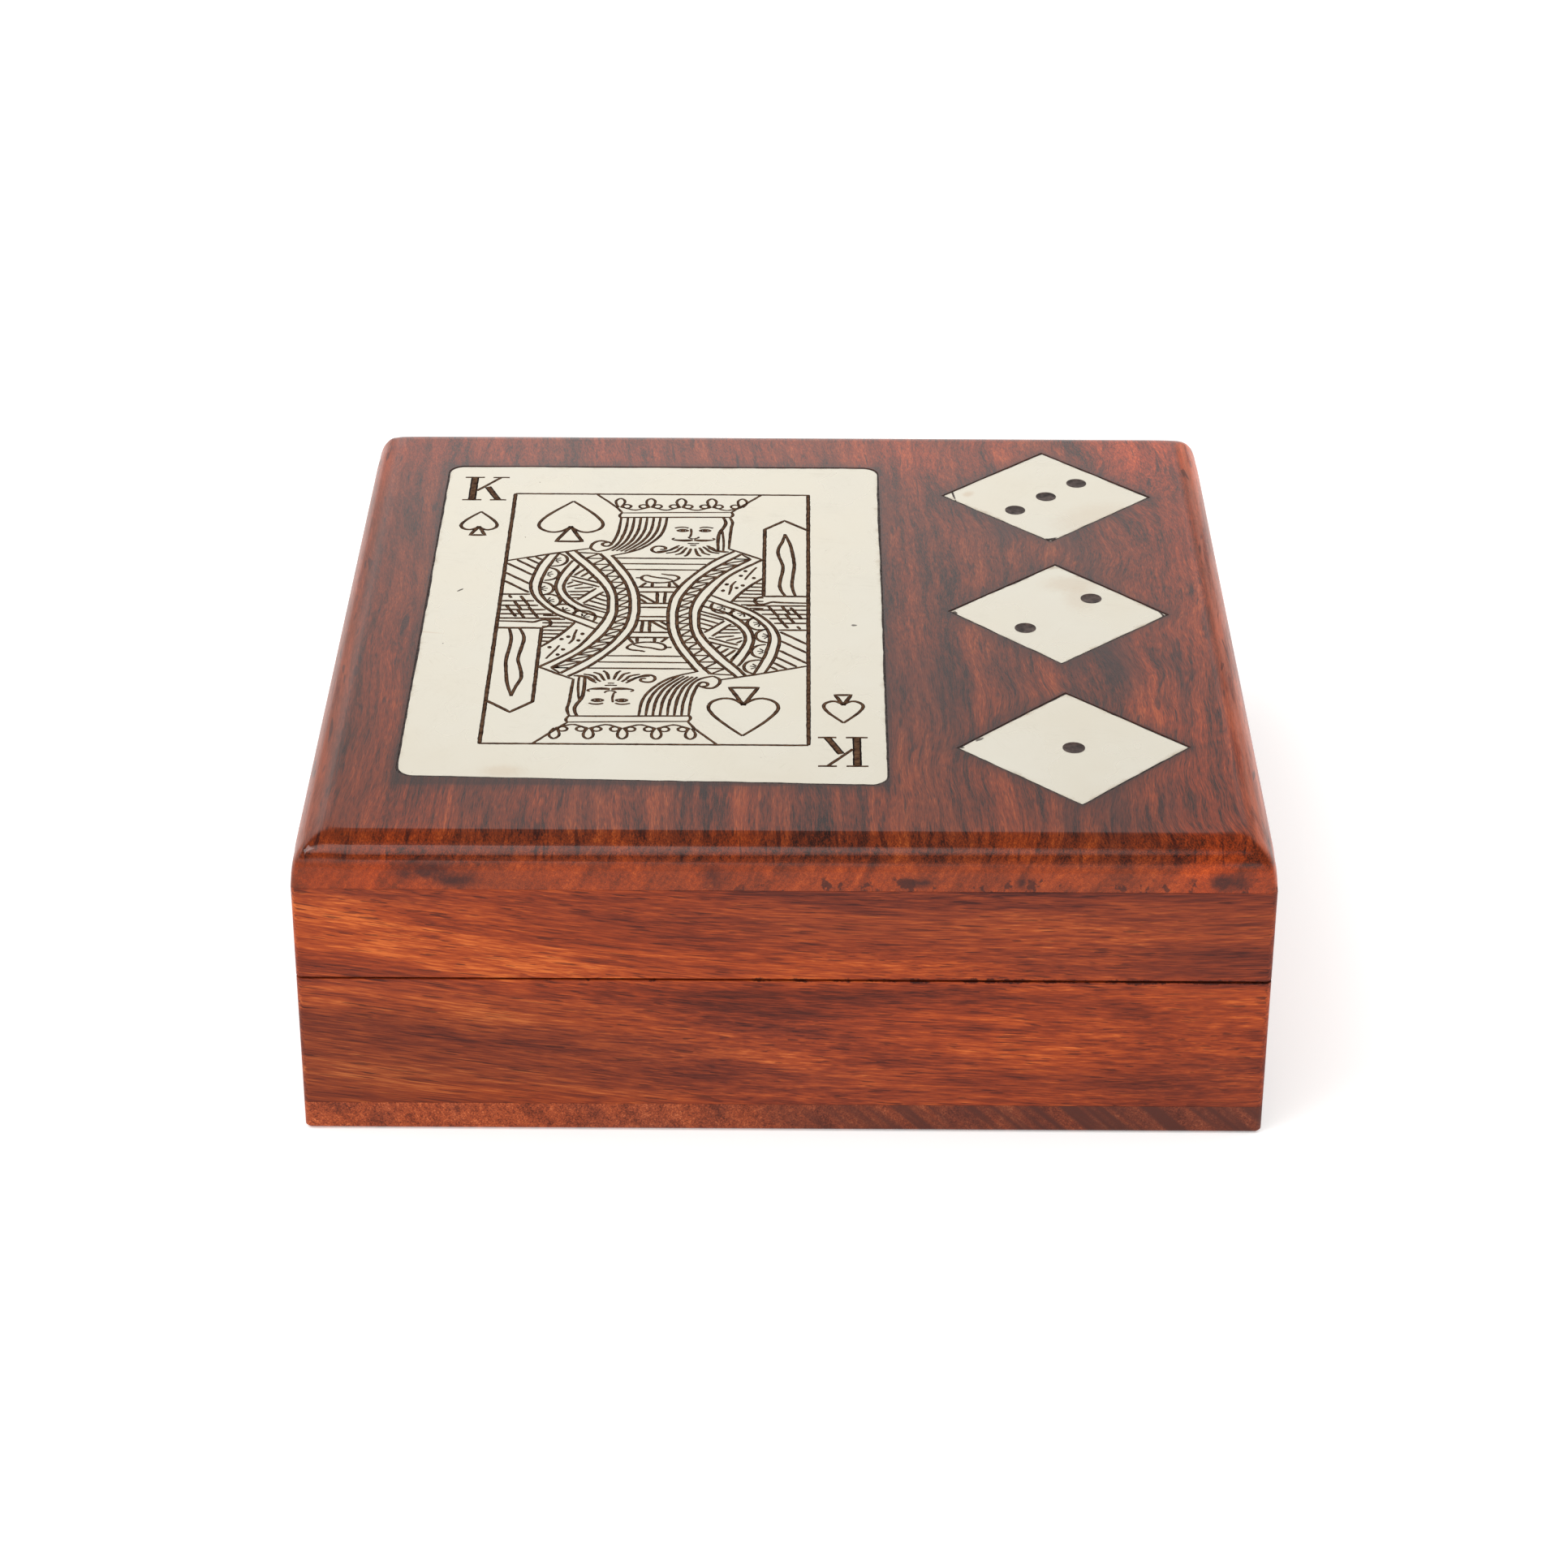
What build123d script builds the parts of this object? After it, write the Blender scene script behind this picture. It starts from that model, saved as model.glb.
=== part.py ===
"""Card and dice box: a flat wooden box sawn into a base and a hinged lid.

The base has a bottom board, four walls and a divider that parts the card side from
the dice side. The lid has four shallow walls under a thick board with a rounded rim,
and the board is inlaid with a playing-card plate and three dice plates of pale metal.
Two butt hinges are let into the back rims, with their knuckles behind the box.

Frame: millimetres, +Z up, +X to the right and +Y to the back, with the origin at the
centre of the underside. The lid is closed.
"""

import os
from math import radians, tan

from build123d import *

os.makedirs("parts", exist_ok=True)

# Boards
box_width = 114.0
box_depth = 117.0
bottom_board_thickness = 3.7
base_wall_height = 17.25
lid_gap = 0.3
lid_wall_height = 11.95
lid_board_thickness = 5.65
wall_thickness = 7.0
lid_round_over = 4.25
corner_round = 0.8
edge_ease = 0.35
same_place = 0.01

# Divider, housed in shallow grooves in the front and back walls
divider_thickness = 5.0
divider_height = 15.5
divider_groove_depth = 1.5
dice_compartment_width = 29.2

# Inlay plates, set flush in pockets with a thin line of filler round them
plate_thickness = 1.0
inlay_clearance = 0.2
card_left_x = -46.0
card_back_margin = 13.3
card_width = 58.2
card_left_length = 86.8
card_right_length = 88.6
card_corner_round = 2.0

# Dice plates, from the front to the back, each with as many pips as its name says
die_names = ("one", "two", "three")
die_side = 19.5
die_centre_x = {"one": 34.6, "two": 34.7, "three": 34.9}
die_angles = {"one": 46.0, "two": 43.6, "three": 44.6}
die_front_margin = 24.5
die_middle_shift = 1.7
die_back_margin = 22.0
pip_radius = 1.35
pip_row_length = 12.2
pip_clearance = 0.03

# Butt hinges
hinge_end_margin = 23.0
hinge_length = 20.0
knuckle_count = 5
knuckle_radius = 1.6
knuckle_gap = 0.1
knuckle_clearance = 0.2
leaf_thickness = 0.9
leaf_depth = 6.0
mortise_clearance = 0.1
pin_radius = 0.7
pin_clearance = 0.05
pin_head_radius = 1.15
pin_head_thickness = 0.5
pin_head_round = 0.3

# Hinge screws
screw_spacing = 11.0
screw_inset = 3.2
screw_length = 7.5
screw_shank_radius = 0.75
screw_head_radius = 1.5
screw_point_length = 1.8
screw_clearance = 0.04
countersink_angle = 90.0
slot_width = 0.4
slot_depth = 0.3

# Levels and places that follow from the sizes above
floor_z = bottom_board_thickness
base_rim_z = floor_z + base_wall_height
lid_rim_z = base_rim_z + lid_gap
lid_board_z = lid_rim_z + lid_wall_height
top_z = lid_board_z + lid_board_thickness
pocket_floor_z = top_z - plate_thickness
right_x = box_width / 2
back_y = box_depth / 2
inner_depth = box_depth - 2 * wall_thickness
divider_x = right_x - wall_thickness - dice_compartment_width - divider_thickness / 2
hinge_axis_y = back_y + knuckle_radius + knuckle_clearance
hinge_axis_z = base_rim_z + lid_gap / 2
hinge_places = {"left": hinge_end_margin - right_x, "right": right_x - hinge_end_margin}
knuckle_pitch = hinge_length / knuckle_count
screw_y = back_y - screw_inset
card_right_x = card_left_x + card_width
card_back_y = back_y - card_back_margin
die_places = {
    "one": (die_centre_x["one"], die_front_margin - back_y),
    "two": (die_centre_x["two"], die_middle_shift),
    "three": (die_centre_x["three"], back_y - die_back_margin),
}


def save(piece, name):
    """Labels a finished piece and writes its STEP file."""
    piece.label = name
    export_step(piece, f"parts/{name}.step")


def ease_outer_corners(wall):
    """Softens the two upright edges that a front or back wall shows at the box's corners."""
    upright = wall.edges().filter_by(Axis.Z)
    outer = [edge for edge in upright if abs(abs(edge.center().Y) - back_y) < same_place]
    ends = [edge for edge in outer if abs(abs(edge.center().X) - right_x) < same_place]
    fillet(ends, corner_round)


def cross_wall(side, low_z, height, cuts=()):
    """A front (-1) or back (+1) wall, as long as the box is wide, standing on low_z."""
    centre_y = side * (box_depth - wall_thickness) / 2
    with BuildPart() as wall:
        with BuildSketch(Plane.XY.offset(low_z)):
            with Locations((0, centre_y)):
                Rectangle(box_width, wall_thickness)
        extrude(amount=height)
        ease_outer_corners(wall)
        for cut in cuts:
            add(cut.part, mode=Mode.SUBTRACT)
    return wall


def side_wall(side, low_z, height):
    """A left (-1) or right (+1) wall, fitted between the front and back walls."""
    centre_x = side * (box_width - wall_thickness) / 2
    with BuildPart() as wall:
        with BuildSketch(Plane.XY.offset(low_z)):
            with Locations((centre_x, 0)):
                Rectangle(wall_thickness, inner_depth)
        extrude(amount=height)
    return wall


def divider_groove(side):
    """The stopped groove that houses one end of the divider in a base wall."""
    groove_y = side * (inner_depth / 2 + divider_groove_depth / 2)
    with BuildPart() as groove:
        with BuildSketch(Plane.XY.offset(floor_z)):
            with Locations((divider_x, groove_y)):
                Rectangle(divider_thickness, divider_groove_depth)
        extrude(amount=divider_height)
    return groove


def hinge_seats(rim_z, inward):
    """Both hinge mortises and their screw holes; inward is -1 in a base rim and +1 in a lid rim."""
    seat_length = hinge_length + 2 * mortise_clearance
    seat_depth = leaf_depth + mortise_clearance
    hole_depth = screw_length + screw_clearance
    with BuildPart() as seats:
        with BuildSketch(Plane.XY.offset(rim_z)):
            with Locations([(x, back_y - seat_depth / 2) for x in hinge_places.values()]):
                Rectangle(seat_length, seat_depth)
        extrude(amount=inward * leaf_thickness)
        with BuildSketch(Plane.XY.offset(rim_z)):
            for x in hinge_places.values():
                with Locations((x, screw_y)):
                    with GridLocations(screw_spacing, 0, 2, 1):
                        Circle(screw_shank_radius + screw_clearance)
        extrude(amount=inward * hole_depth)
    return seats


def hinge_leaf(hinge_x, rim_z, inward, first_knuckle):
    """One leaf with its knuckles: the flat in the rim, the tabs and the barrels bored for the pin."""
    flat_z = rim_z + inward * leaf_thickness
    tab_depth = hinge_axis_y - back_y
    barrel_length = knuckle_pitch - knuckle_gap
    start_x = hinge_x - hinge_length / 2
    barrel_ends = [
        start_x + index * knuckle_pitch + knuckle_gap / 2
        for index in range(first_knuckle, knuckle_count, 2)
    ]
    with BuildPart() as leaf:
        with BuildSketch(Plane.XY.offset(flat_z)):
            with Locations((hinge_x, back_y - leaf_depth / 2)):
                Rectangle(hinge_length - knuckle_gap, leaf_depth)
            for barrel_x in barrel_ends:
                with Locations((barrel_x, back_y)):
                    Rectangle(barrel_length, tab_depth, align=(Align.MIN, Align.MIN))
        extrude(amount=-inward * leaf_thickness)
        for barrel_x in barrel_ends:
            with BuildSketch(Plane.YZ.offset(barrel_x)):
                with Locations((hinge_axis_y, hinge_axis_z)):
                    Circle(knuckle_radius)
            extrude(amount=barrel_length)
        with BuildSketch(Plane.YZ.offset(start_x)):
            with Locations((hinge_axis_y, hinge_axis_z)):
                Circle(pin_radius + pin_clearance)
        extrude(amount=hinge_length, mode=Mode.SUBTRACT)
        rim_plane = Plane.XY.offset(rim_z)
        if inward > 0:
            rim_plane = Plane(origin=(0, 0, rim_z), x_dir=(1, 0, 0), z_dir=(0, 0, -1))
        with Locations(rim_plane):
            with Locations((hinge_x, -inward * screw_y)):
                with GridLocations(screw_spacing, 0, 2, 1):
                    CounterSinkHole(
                        screw_shank_radius + screw_clearance,
                        screw_head_radius + screw_clearance,
                        depth=leaf_thickness,
                        counter_sink_angle=countersink_angle,
                    )
    return leaf


def hinge_pin(hinge_x):
    """A plain pin through all the knuckles, with a flat head peened on each end."""
    half_length = hinge_length / 2
    with BuildPart() as pin:
        with BuildSketch(Plane.YZ.offset(hinge_x - half_length)):
            with Locations((hinge_axis_y, hinge_axis_z)):
                Circle(pin_radius)
        extrude(amount=hinge_length)
        for head_x in (-half_length - pin_head_thickness, half_length):
            with BuildSketch(Plane.YZ.offset(hinge_x + head_x)):
                with Locations((hinge_axis_y, hinge_axis_z)):
                    Circle(pin_head_radius)
            extrude(amount=pin_head_thickness)
        rims = pin.edges().filter_by(GeomType.CIRCLE).sort_by(Axis.X)
        fillet([rims[0], rims[-1]], pin_head_round)
    return pin


def hinge_screws(hinge_x, rim_z, inward):
    """Two slotted countersunk wood screws, driven square to the rim."""
    head_depth = (screw_head_radius - screw_shank_radius) / tan(radians(countersink_angle / 2))
    shank_end = screw_length - screw_point_length
    with BuildPart() as screws:
        for screw_x in (hinge_x - screw_spacing / 2, hinge_x + screw_spacing / 2):
            profile_plane = Plane(
                origin=(screw_x, screw_y, rim_z), x_dir=(1, 0, 0), z_dir=(0, -inward, 0)
            )
            with BuildSketch(profile_plane):
                with BuildLine():
                    Polyline(
                        (0, 0),
                        (screw_head_radius, 0),
                        (screw_shank_radius, head_depth),
                        (screw_shank_radius, shank_end),
                        (0, screw_length),
                        close=True,
                    )
                make_face()
            revolve(axis=Axis((screw_x, screw_y, rim_z), (0, 0, 1)))
        with BuildSketch(Plane.XY.offset(rim_z)):
            with Locations((hinge_x, screw_y)):
                with GridLocations(screw_spacing, 0, 2, 1):
                    Rectangle(2 * screw_head_radius, slot_width)
        extrude(amount=inward * slot_depth, mode=Mode.SUBTRACT)
    return screws


def card_outline(grow=0.0):
    """The card plate's outline, a hand-cut sheet that is longer on the right, grown all round."""
    with BuildSketch() as outline:
        with BuildLine():
            Polyline(
                (card_left_x, card_back_y),
                (card_right_x, card_back_y),
                (card_right_x, card_back_y - card_right_length),
                (card_left_x, card_back_y - card_left_length),
                close=True,
            )
        make_face()
        fillet(outline.vertices(), card_corner_round)
        if grow > 0:
            offset(amount=grow)
    return outline.sketch


def pip_row(name):
    """Where a die plate's pips sit, in a row through its middle along one pair of its sides."""
    pip_count = die_names.index(name) + 1
    pip_spacing = pip_row_length / max(pip_count - 1, 1)
    return GridLocations(pip_spacing, 0, pip_count, 1)


def die_plate(name):
    """A square plate set cornerwise, drilled through for its pips."""
    with BuildPart() as plate:
        with BuildSketch(Plane.XY.offset(pocket_floor_z)):
            with Locations(Location((*die_places[name], 0), (0, 0, die_angles[name]))):
                Rectangle(die_side, die_side)
                with pip_row(name):
                    Circle(pip_radius + pip_clearance, mode=Mode.SUBTRACT)
        extrude(amount=plate_thickness)
    return plate


def die_pips(name):
    """The dark plugs that fill a die plate's holes, flush with its face."""
    with BuildPart() as pips:
        with BuildSketch(Plane.XY.offset(pocket_floor_z)):
            with Locations(Location((*die_places[name], 0), (0, 0, die_angles[name]))):
                with pip_row(name):
                    Circle(pip_radius)
        extrude(amount=plate_thickness)
    return pips


# Base boards
with BuildPart() as bottom_board:
    with BuildSketch(Plane.XY):
        RectangleRounded(box_width, box_depth, corner_round)
    extrude(amount=bottom_board_thickness)
    chamfer(bottom_board.faces().sort_by(Axis.Z)[0].edges(), edge_ease)

base_front_wall = cross_wall(-1, floor_z, base_wall_height, [divider_groove(-1)])
base_back_cuts = [divider_groove(1), hinge_seats(base_rim_z, -1)]
base_back_wall = cross_wall(1, floor_z, base_wall_height, base_back_cuts)
base_left_wall = side_wall(-1, floor_z, base_wall_height)
base_right_wall = side_wall(1, floor_z, base_wall_height)

with BuildPart() as compartment_divider:
    with BuildSketch(Plane.XY.offset(floor_z)):
        with Locations((divider_x, 0)):
            Rectangle(divider_thickness, inner_depth + 2 * divider_groove_depth)
    extrude(amount=divider_height)

# Lid boards
lid_front_wall = cross_wall(-1, lid_rim_z, lid_wall_height)
lid_back_wall = cross_wall(1, lid_rim_z, lid_wall_height, [hinge_seats(lid_rim_z, 1)])
lid_left_wall = side_wall(-1, lid_rim_z, lid_wall_height)
lid_right_wall = side_wall(1, lid_rim_z, lid_wall_height)

with BuildPart() as lid_board:
    board_middle_z = lid_board_z + lid_board_thickness / 2
    with BuildSketch(Plane.XZ):
        with Locations((0, board_middle_z)):
            Rectangle(box_width, lid_board_thickness)
        fillet(vertices().group_by(Axis.Y)[-1], lid_round_over)
    extrude(amount=box_depth / 2, both=True)
    with BuildSketch(Plane.YZ):
        with Locations((0, board_middle_z)):
            Rectangle(box_depth, lid_board_thickness)
        fillet(vertices().group_by(Axis.Y)[-1], lid_round_over)
    extrude(amount=box_width / 2, both=True, mode=Mode.INTERSECT)
    with BuildSketch(Plane.XY.offset(lid_board_z)):
        RectangleRounded(box_width, box_depth, corner_round)
    extrude(amount=lid_board_thickness, mode=Mode.INTERSECT)
    with BuildSketch(Plane.XY.offset(pocket_floor_z)):
        add(card_outline(grow=inlay_clearance))
        for name, place in die_places.items():
            with Locations(Location((*place, 0), (0, 0, die_angles[name]))):
                pocket_side = die_side + 2 * inlay_clearance
                Rectangle(pocket_side, pocket_side)
    extrude(amount=plate_thickness, mode=Mode.SUBTRACT)

# Inlays
with BuildPart() as card_plate:
    with BuildSketch(Plane.XY.offset(pocket_floor_z)):
        add(card_outline())
    extrude(amount=plate_thickness)

pieces = {
    "bottom_board": bottom_board,
    "base_front_wall": base_front_wall,
    "base_back_wall": base_back_wall,
    "base_left_wall": base_left_wall,
    "base_right_wall": base_right_wall,
    "compartment_divider": compartment_divider,
    "lid_front_wall": lid_front_wall,
    "lid_back_wall": lid_back_wall,
    "lid_left_wall": lid_left_wall,
    "lid_right_wall": lid_right_wall,
    "lid_board": lid_board,
    "card_plate": card_plate,
}
for name in die_names:
    pieces[f"die_{name}_plate"] = die_plate(name)
    pieces[f"die_{name}_pips"] = die_pips(name)

# Hinges
for side, hinge_x in hinge_places.items():
    pieces[f"{side}_hinge_base_leaf"] = hinge_leaf(hinge_x, base_rim_z, -1, first_knuckle=0)
    pieces[f"{side}_hinge_lid_leaf"] = hinge_leaf(hinge_x, lid_rim_z, 1, first_knuckle=1)
    pieces[f"{side}_hinge_pin"] = hinge_pin(hinge_x)
    pieces[f"{side}_hinge_base_screws"] = hinge_screws(hinge_x, base_rim_z, -1)
    pieces[f"{side}_hinge_lid_screws"] = hinge_screws(hinge_x, lid_rim_z, 1)

for name, piece in pieces.items():
    save(piece.part, name)
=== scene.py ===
"""Looks for a card and dice box: rosewood boards, engraved metal inlays and small brass hinges.

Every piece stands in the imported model's frame, in metres, with +Z up, the front towards -Y
and the lid closed. The sections follow the box as it is put together.
"""

import math
from functools import partial

import bmesh
import bpy
from mathutils import Matrix, Vector, noise


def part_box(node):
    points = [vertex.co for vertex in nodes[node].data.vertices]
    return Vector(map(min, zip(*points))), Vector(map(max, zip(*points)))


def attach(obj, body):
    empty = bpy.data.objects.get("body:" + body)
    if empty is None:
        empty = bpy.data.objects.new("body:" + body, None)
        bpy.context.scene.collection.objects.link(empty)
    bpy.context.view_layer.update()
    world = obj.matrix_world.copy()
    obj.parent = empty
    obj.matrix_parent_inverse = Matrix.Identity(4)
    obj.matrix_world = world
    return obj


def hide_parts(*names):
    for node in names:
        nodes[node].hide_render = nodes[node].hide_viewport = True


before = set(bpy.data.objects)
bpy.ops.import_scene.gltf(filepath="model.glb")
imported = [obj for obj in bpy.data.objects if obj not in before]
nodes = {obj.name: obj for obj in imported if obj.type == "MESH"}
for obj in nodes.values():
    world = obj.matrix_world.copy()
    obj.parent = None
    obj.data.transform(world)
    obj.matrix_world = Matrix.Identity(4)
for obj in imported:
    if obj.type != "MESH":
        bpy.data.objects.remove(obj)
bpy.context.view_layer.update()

# Bottom board
# A thin board of red-brown rosewood, glued under the four walls with its grain from front to
# back, so its front edge shows speckled end grain. It is sanded flush and lacquered.


def srgb(red, green, blue):
    """A colour given in the usual 0 to 255 steps, as the linear colour that a shader takes."""
    steps = [channel / 255 for channel in (red, green, blue)]
    linear = [s / 12.92 if s <= 0.04045 else ((s + 0.055) / 1.055) ** 2.4 for s in steps]
    return (*linear, 1.0)


def feed(node, inputs):
    """Gives each named input of a node a value or another node's socket."""
    for name, value in inputs.items():
        if isinstance(value, bpy.types.NodeSocket):
            node.id_data.links.new(value, node.inputs[name])
        else:
            node.inputs[name].default_value = value


def add_node(kind, inputs, tree=None, **settings):
    """Adds a shader node to this tree, or to the one that the sockets among its inputs are in."""
    if tree is None:
        tree = next(value.id_data for value in inputs.values() if isinstance(value, bpy.types.NodeSocket))
    node = tree.nodes.new("ShaderNode" + kind)
    for name, value in settings.items():
        setattr(node, name, value)
    feed(node, inputs)
    return node


def worked_out(operation, *values):
    """The values taken together from the left, with one Math node for each step."""
    result = values[0]
    for value in values[1:]:
        result = add_node("Math", {0: result, 1: value}, operation=operation).outputs[0]
    return result


plus, minus, times = [partial(worked_out, operation) for operation in ("ADD", "SUBTRACT", "MULTIPLY")]


def on_vectors(operation, first, second):
    """One sum on two vectors."""
    return add_node("VectorMath", {0: first, 1: second}, operation=operation).outputs[0]


def axes(place):
    """The X, Y and Z of a place."""
    return add_node("SeparateXYZ", {"Vector": place}).outputs


def rotated(place, degrees, axis):
    """A place turned about one axis."""
    inputs = {"Vector": place, "Angle": math.radians(degrees)}
    return add_node("VectorRotate", inputs, rotation_type=axis + "_AXIS").outputs[0]


def add_noise(place, stretch, detail=2.0, roughness=0.5, output="Fac"):
    """Noise whose grains are as large as one over stretch, in metres, on all axes or on each."""
    stretches = stretch if isinstance(stretch, tuple) else (stretch,) * 3
    stretched = on_vectors("MULTIPLY", place, stretches)
    inputs = {"Vector": stretched, "Scale": 1.0, "Detail": detail, "Roughness": roughness}
    return add_node("TexNoise", inputs).outputs[output]


def wandering(place, stretch, reach):
    """A shift that wanders from place to place, by up to half of reach either way on each axis."""
    shift = on_vectors("SUBTRACT", add_noise(place, stretch, output="Color"), (0.5, 0.5, 0.5))
    return on_vectors("MULTIPLY", shift, reach)


def soft(value, low, high, to_low=0.0, to_high=1.0):
    """A soft step that runs from to_low to to_high while value goes from low to high."""
    inputs = {"Value": value, "From Min": low, "From Max": high, "To Min": to_low, "To Max": to_high}
    return add_node("MapRange", inputs, interpolation_type="SMOOTHSTEP").outputs["Result"]


def mix(share, first, second, blend="MIX"):
    """Colour first turning into colour second by share."""
    inputs = {"Fac": share, "Color1": first, "Color2": second}
    return add_node("MixRGB", inputs, blend_type=blend).outputs["Color"]


def tinted(colour, tint):
    """A colour multiplied by another."""
    return mix(1.0, colour, tint, "MULTIPLY")


def ramp(value, stops):
    """What stops, a list of places with a colour or a number for each, give to value."""
    node = add_node("ValToRGB", {"Fac": value})
    elements = node.color_ramp.elements
    while len(elements) < len(stops):
        elements.new(1.0)
    for element, (place, colour) in zip(elements, stops):
        element.position = place
        element.color = colour if isinstance(colour, tuple) else (colour,) * 4
    return node.outputs["Color"]


def relief(height, strength, distance):
    """Fine relief, for a shader's normal."""
    inputs = {"Height": height, "Strength": strength, "Distance": distance}
    return add_node("Bump", inputs).outputs["Normal"]


def new_group(name, inputs, outputs):
    """An empty node group with these sockets, what comes into it, and its output node."""
    group = bpy.data.node_groups.new(name, "ShaderNodeTree")
    for way, sockets in (("INPUT", inputs), ("OUTPUT", outputs)):
        for socket in sockets:
            kind = socket if socket in ("Vector", "Color") else "Float"
            group.interface.new_socket(socket, in_out=way, socket_type="NodeSocket" + kind)
    return group, group.nodes.new("NodeGroupInput").outputs, group.nodes.new("NodeGroupOutput")


def new_material(name):
    """A material, its Principled shader, and the place on the object that patterns are laid out by."""
    material = bpy.data.materials.new(name)
    material.use_nodes = True
    place = add_node("TexCoord", {}, material.node_tree).outputs["Object"]
    return material, material.node_tree.nodes["Principled BSDF"], place


# The grain runs along the group's X, and Bend curves it. Flames are broad light and dark figure,
# fibres and threads are the streaks in it, layers are the growth rings that cross the board at a
# slant, and vessels are short dark pores.
grain, grain_in, grain_out = new_group(
    "Rosewood grain",
    ("Vector", "Bend", "Flames", "Streaks", "Rings"),
    ("Tone", "Pores", "Warmth", "Height"),
)
along = axes(grain_in["Vector"])["X"]
sag = add_node("CombineXYZ", {"Z": times(along, along, grain_in["Bend"])}).outputs[0]
bent = on_vectors("ADD", grain_in["Vector"], sag)
drifted = on_vectors("ADD", bent, wandering(bent, (16, 40, 40), (0, 0.005, 0.005)))
flames = add_noise(drifted, (22, 150, 150), 4, 0.65)
fibres = add_noise(drifted, (70, 1300, 1300), 6, 0.75)
threads = add_noise(drifted, (420, 5000, 5000), 2, 0.6)
layers = add_noise(drifted, (8, 520, 60), 3, 0.6)
vessels = add_noise(drifted, (260, 5000, 5000), 1)
clouds = add_noise(drifted, (14, 75, 75), 3, 0.6)
streaks = plus(fibres, times(minus(threads, 0.5), 0.9))
tone = 0.5
for pattern, weight in ((flames, "Flames"), (streaks, "Streaks"), (layers, "Rings")):
    tone = plus(tone, times(minus(pattern, 0.5), grain_in[weight]))
pores = soft(vessels, 0.62, 0.67)
warmth = soft(clouds, 0.38, 0.62)
height = minus(fibres, times(pores, 0.8))
feed(grain_out, {"Tone": tone, "Pores": pores, "Warmth": warmth, "Height": height})


def rosewood(name, turn, shift, tones, figured, bend=0, size=(1, 1), pore_share=0.6, curl=None, dress=None):
    """Rosewood whose grain is turned along the board and bent, from a part of the log set by shift.

    tones runs from the darkest colour to the lightest, figured says how strong the flames, streaks
    and rings are, and size how long and how wide. curl may bend the grain further, and dress may
    add to the material.
    """
    material, shader, place = new_material(name)
    laid = {
        "Vector": curl(place) if curl else place,
        "Location": shift,
        "Rotation": [math.radians(angle) for angle in turn],
    }
    turned = add_node("Mapping", laid).outputs["Vector"]
    turned = on_vectors("DIVIDE", turned, (size[0], size[1], size[1]))
    weights = dict(zip(("Flames", "Streaks", "Rings"), figured))
    figure = add_node("Group", {"Vector": turned, "Bend": bend, **weights}, node_tree=grain).outputs
    places = [0.39 + 0.22 * step / (len(tones) - 1) for step in range(len(tones))]
    colour = ramp(figure["Tone"], list(zip(places, tones)))
    colour = tinted(colour, mix(figure["Warmth"], (0.92, 0.98, 1.08, 1), (1.08, 1.0, 0.84, 1)))
    colour = mix(times(figure["Pores"], pore_share), colour, srgb(44, 20, 20))
    feed(shader, {
        "Base Color": colour,
        "Roughness": soft(figure["Tone"], 0.35, 0.65, 0.55, 0.42),
        "Normal": relief(figure["Height"], 0.3, 0.00005),
        "Specular IOR Level": 0.05,
        "Coat Weight": 0.2,
        "Coat Roughness": 0.2,
    })
    if dress:
        dress(place, shader, colour)
    return material


def new_object(name, data):
    """An object with this data, linked to the scene."""
    made = bpy.data.objects.new(name, data)
    bpy.context.scene.collection.objects.link(made)
    return made


def form_mesh(form, name, material):
    """The mesh of a form that is done with, in one material."""
    mesh = bpy.data.meshes.new(name)
    form.to_mesh(mesh)
    form.free()
    mesh.materials.append(material)
    return mesh


def eased_board(node, body, material, edge_ease=0.00005, rub=None):
    """A board cut as the frame has it, with its sharp edges rubbed round by sanding."""
    form = bmesh.new()
    form.from_mesh(nodes[node].data)
    bmesh.ops.remove_doubles(form, verts=form.verts, dist=0.000001)
    bmesh.ops.dissolve_limit(form, angle_limit=math.radians(1), verts=form.verts, edges=form.edges)
    if rub:
        rub(form)
    mesh = form_mesh(form, node + "_eased", material)
    for layer in [a for a in mesh.attributes if a.name == "custom_normal"]:
        mesh.attributes.remove(layer)
    mesh.shade_smooth()
    board = new_object(mesh.name, mesh)
    easing = board.modifiers.new("eased_edges", "BEVEL")
    easing.width = edge_ease
    easing.segments = 3
    easing.limit_method = "ANGLE"
    easing.angle_limit = math.radians(35)
    shading = board.modifiers.new("flat_faces", "WEIGHTED_NORMAL")
    shading.keep_sharp = False
    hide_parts(node)
    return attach(board, body)


def darken_right(place, shader, colour):
    """Heartwood, darker brown, in the right half of the board."""
    heart = soft(axes(place)["X"], -0.02, 0.02)
    stripes = soft(add_noise(rotated(place, 48, "Y"), (700, 20, 40)), 0.35, 0.65, 0.45, 1.0)
    darker = mix(stripes, tinted(colour, (0.9, 0.9, 0.94, 1)), srgb(84, 44, 36))
    feed(shader, {"Base Color": mix(heart, colour, darker)})


def tones_of(*colours):
    """The tones of a wood, from the darkest to the lightest."""
    return [srgb(*colour) for colour in colours]


bottom_tones = tones_of((84, 38, 26), (118, 54, 35), (146, 68, 42), (172, 86, 52), (200, 116, 78))
bottom_wood = rosewood(
    "bottom_rosewood", (0, 40, -90), (0.02, 0.1, 0.06), bottom_tones, (0.2, 0.36, 0.16), dress=darken_right
)
eased_board("bottom_board", "base", bottom_wood)

# Base walls
# Four rosewood walls with orange and dark brown streaks. The front and back walls run the full
# width, and the side walls are glued between them. Lid and base were one box before the saw
# parted them, so the figure carries on across the cut, along whose lips painted shade of the gap
# lies as a ragged dark band.

gap_middle = (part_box("base_front_wall")[1].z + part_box("lid_front_wall")[0].z) / 2
outer_x, outer_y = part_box("base_left_wall")[0].x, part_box("base_front_wall")[0].y
largest = partial(worked_out, "MAXIMUM")


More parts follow.
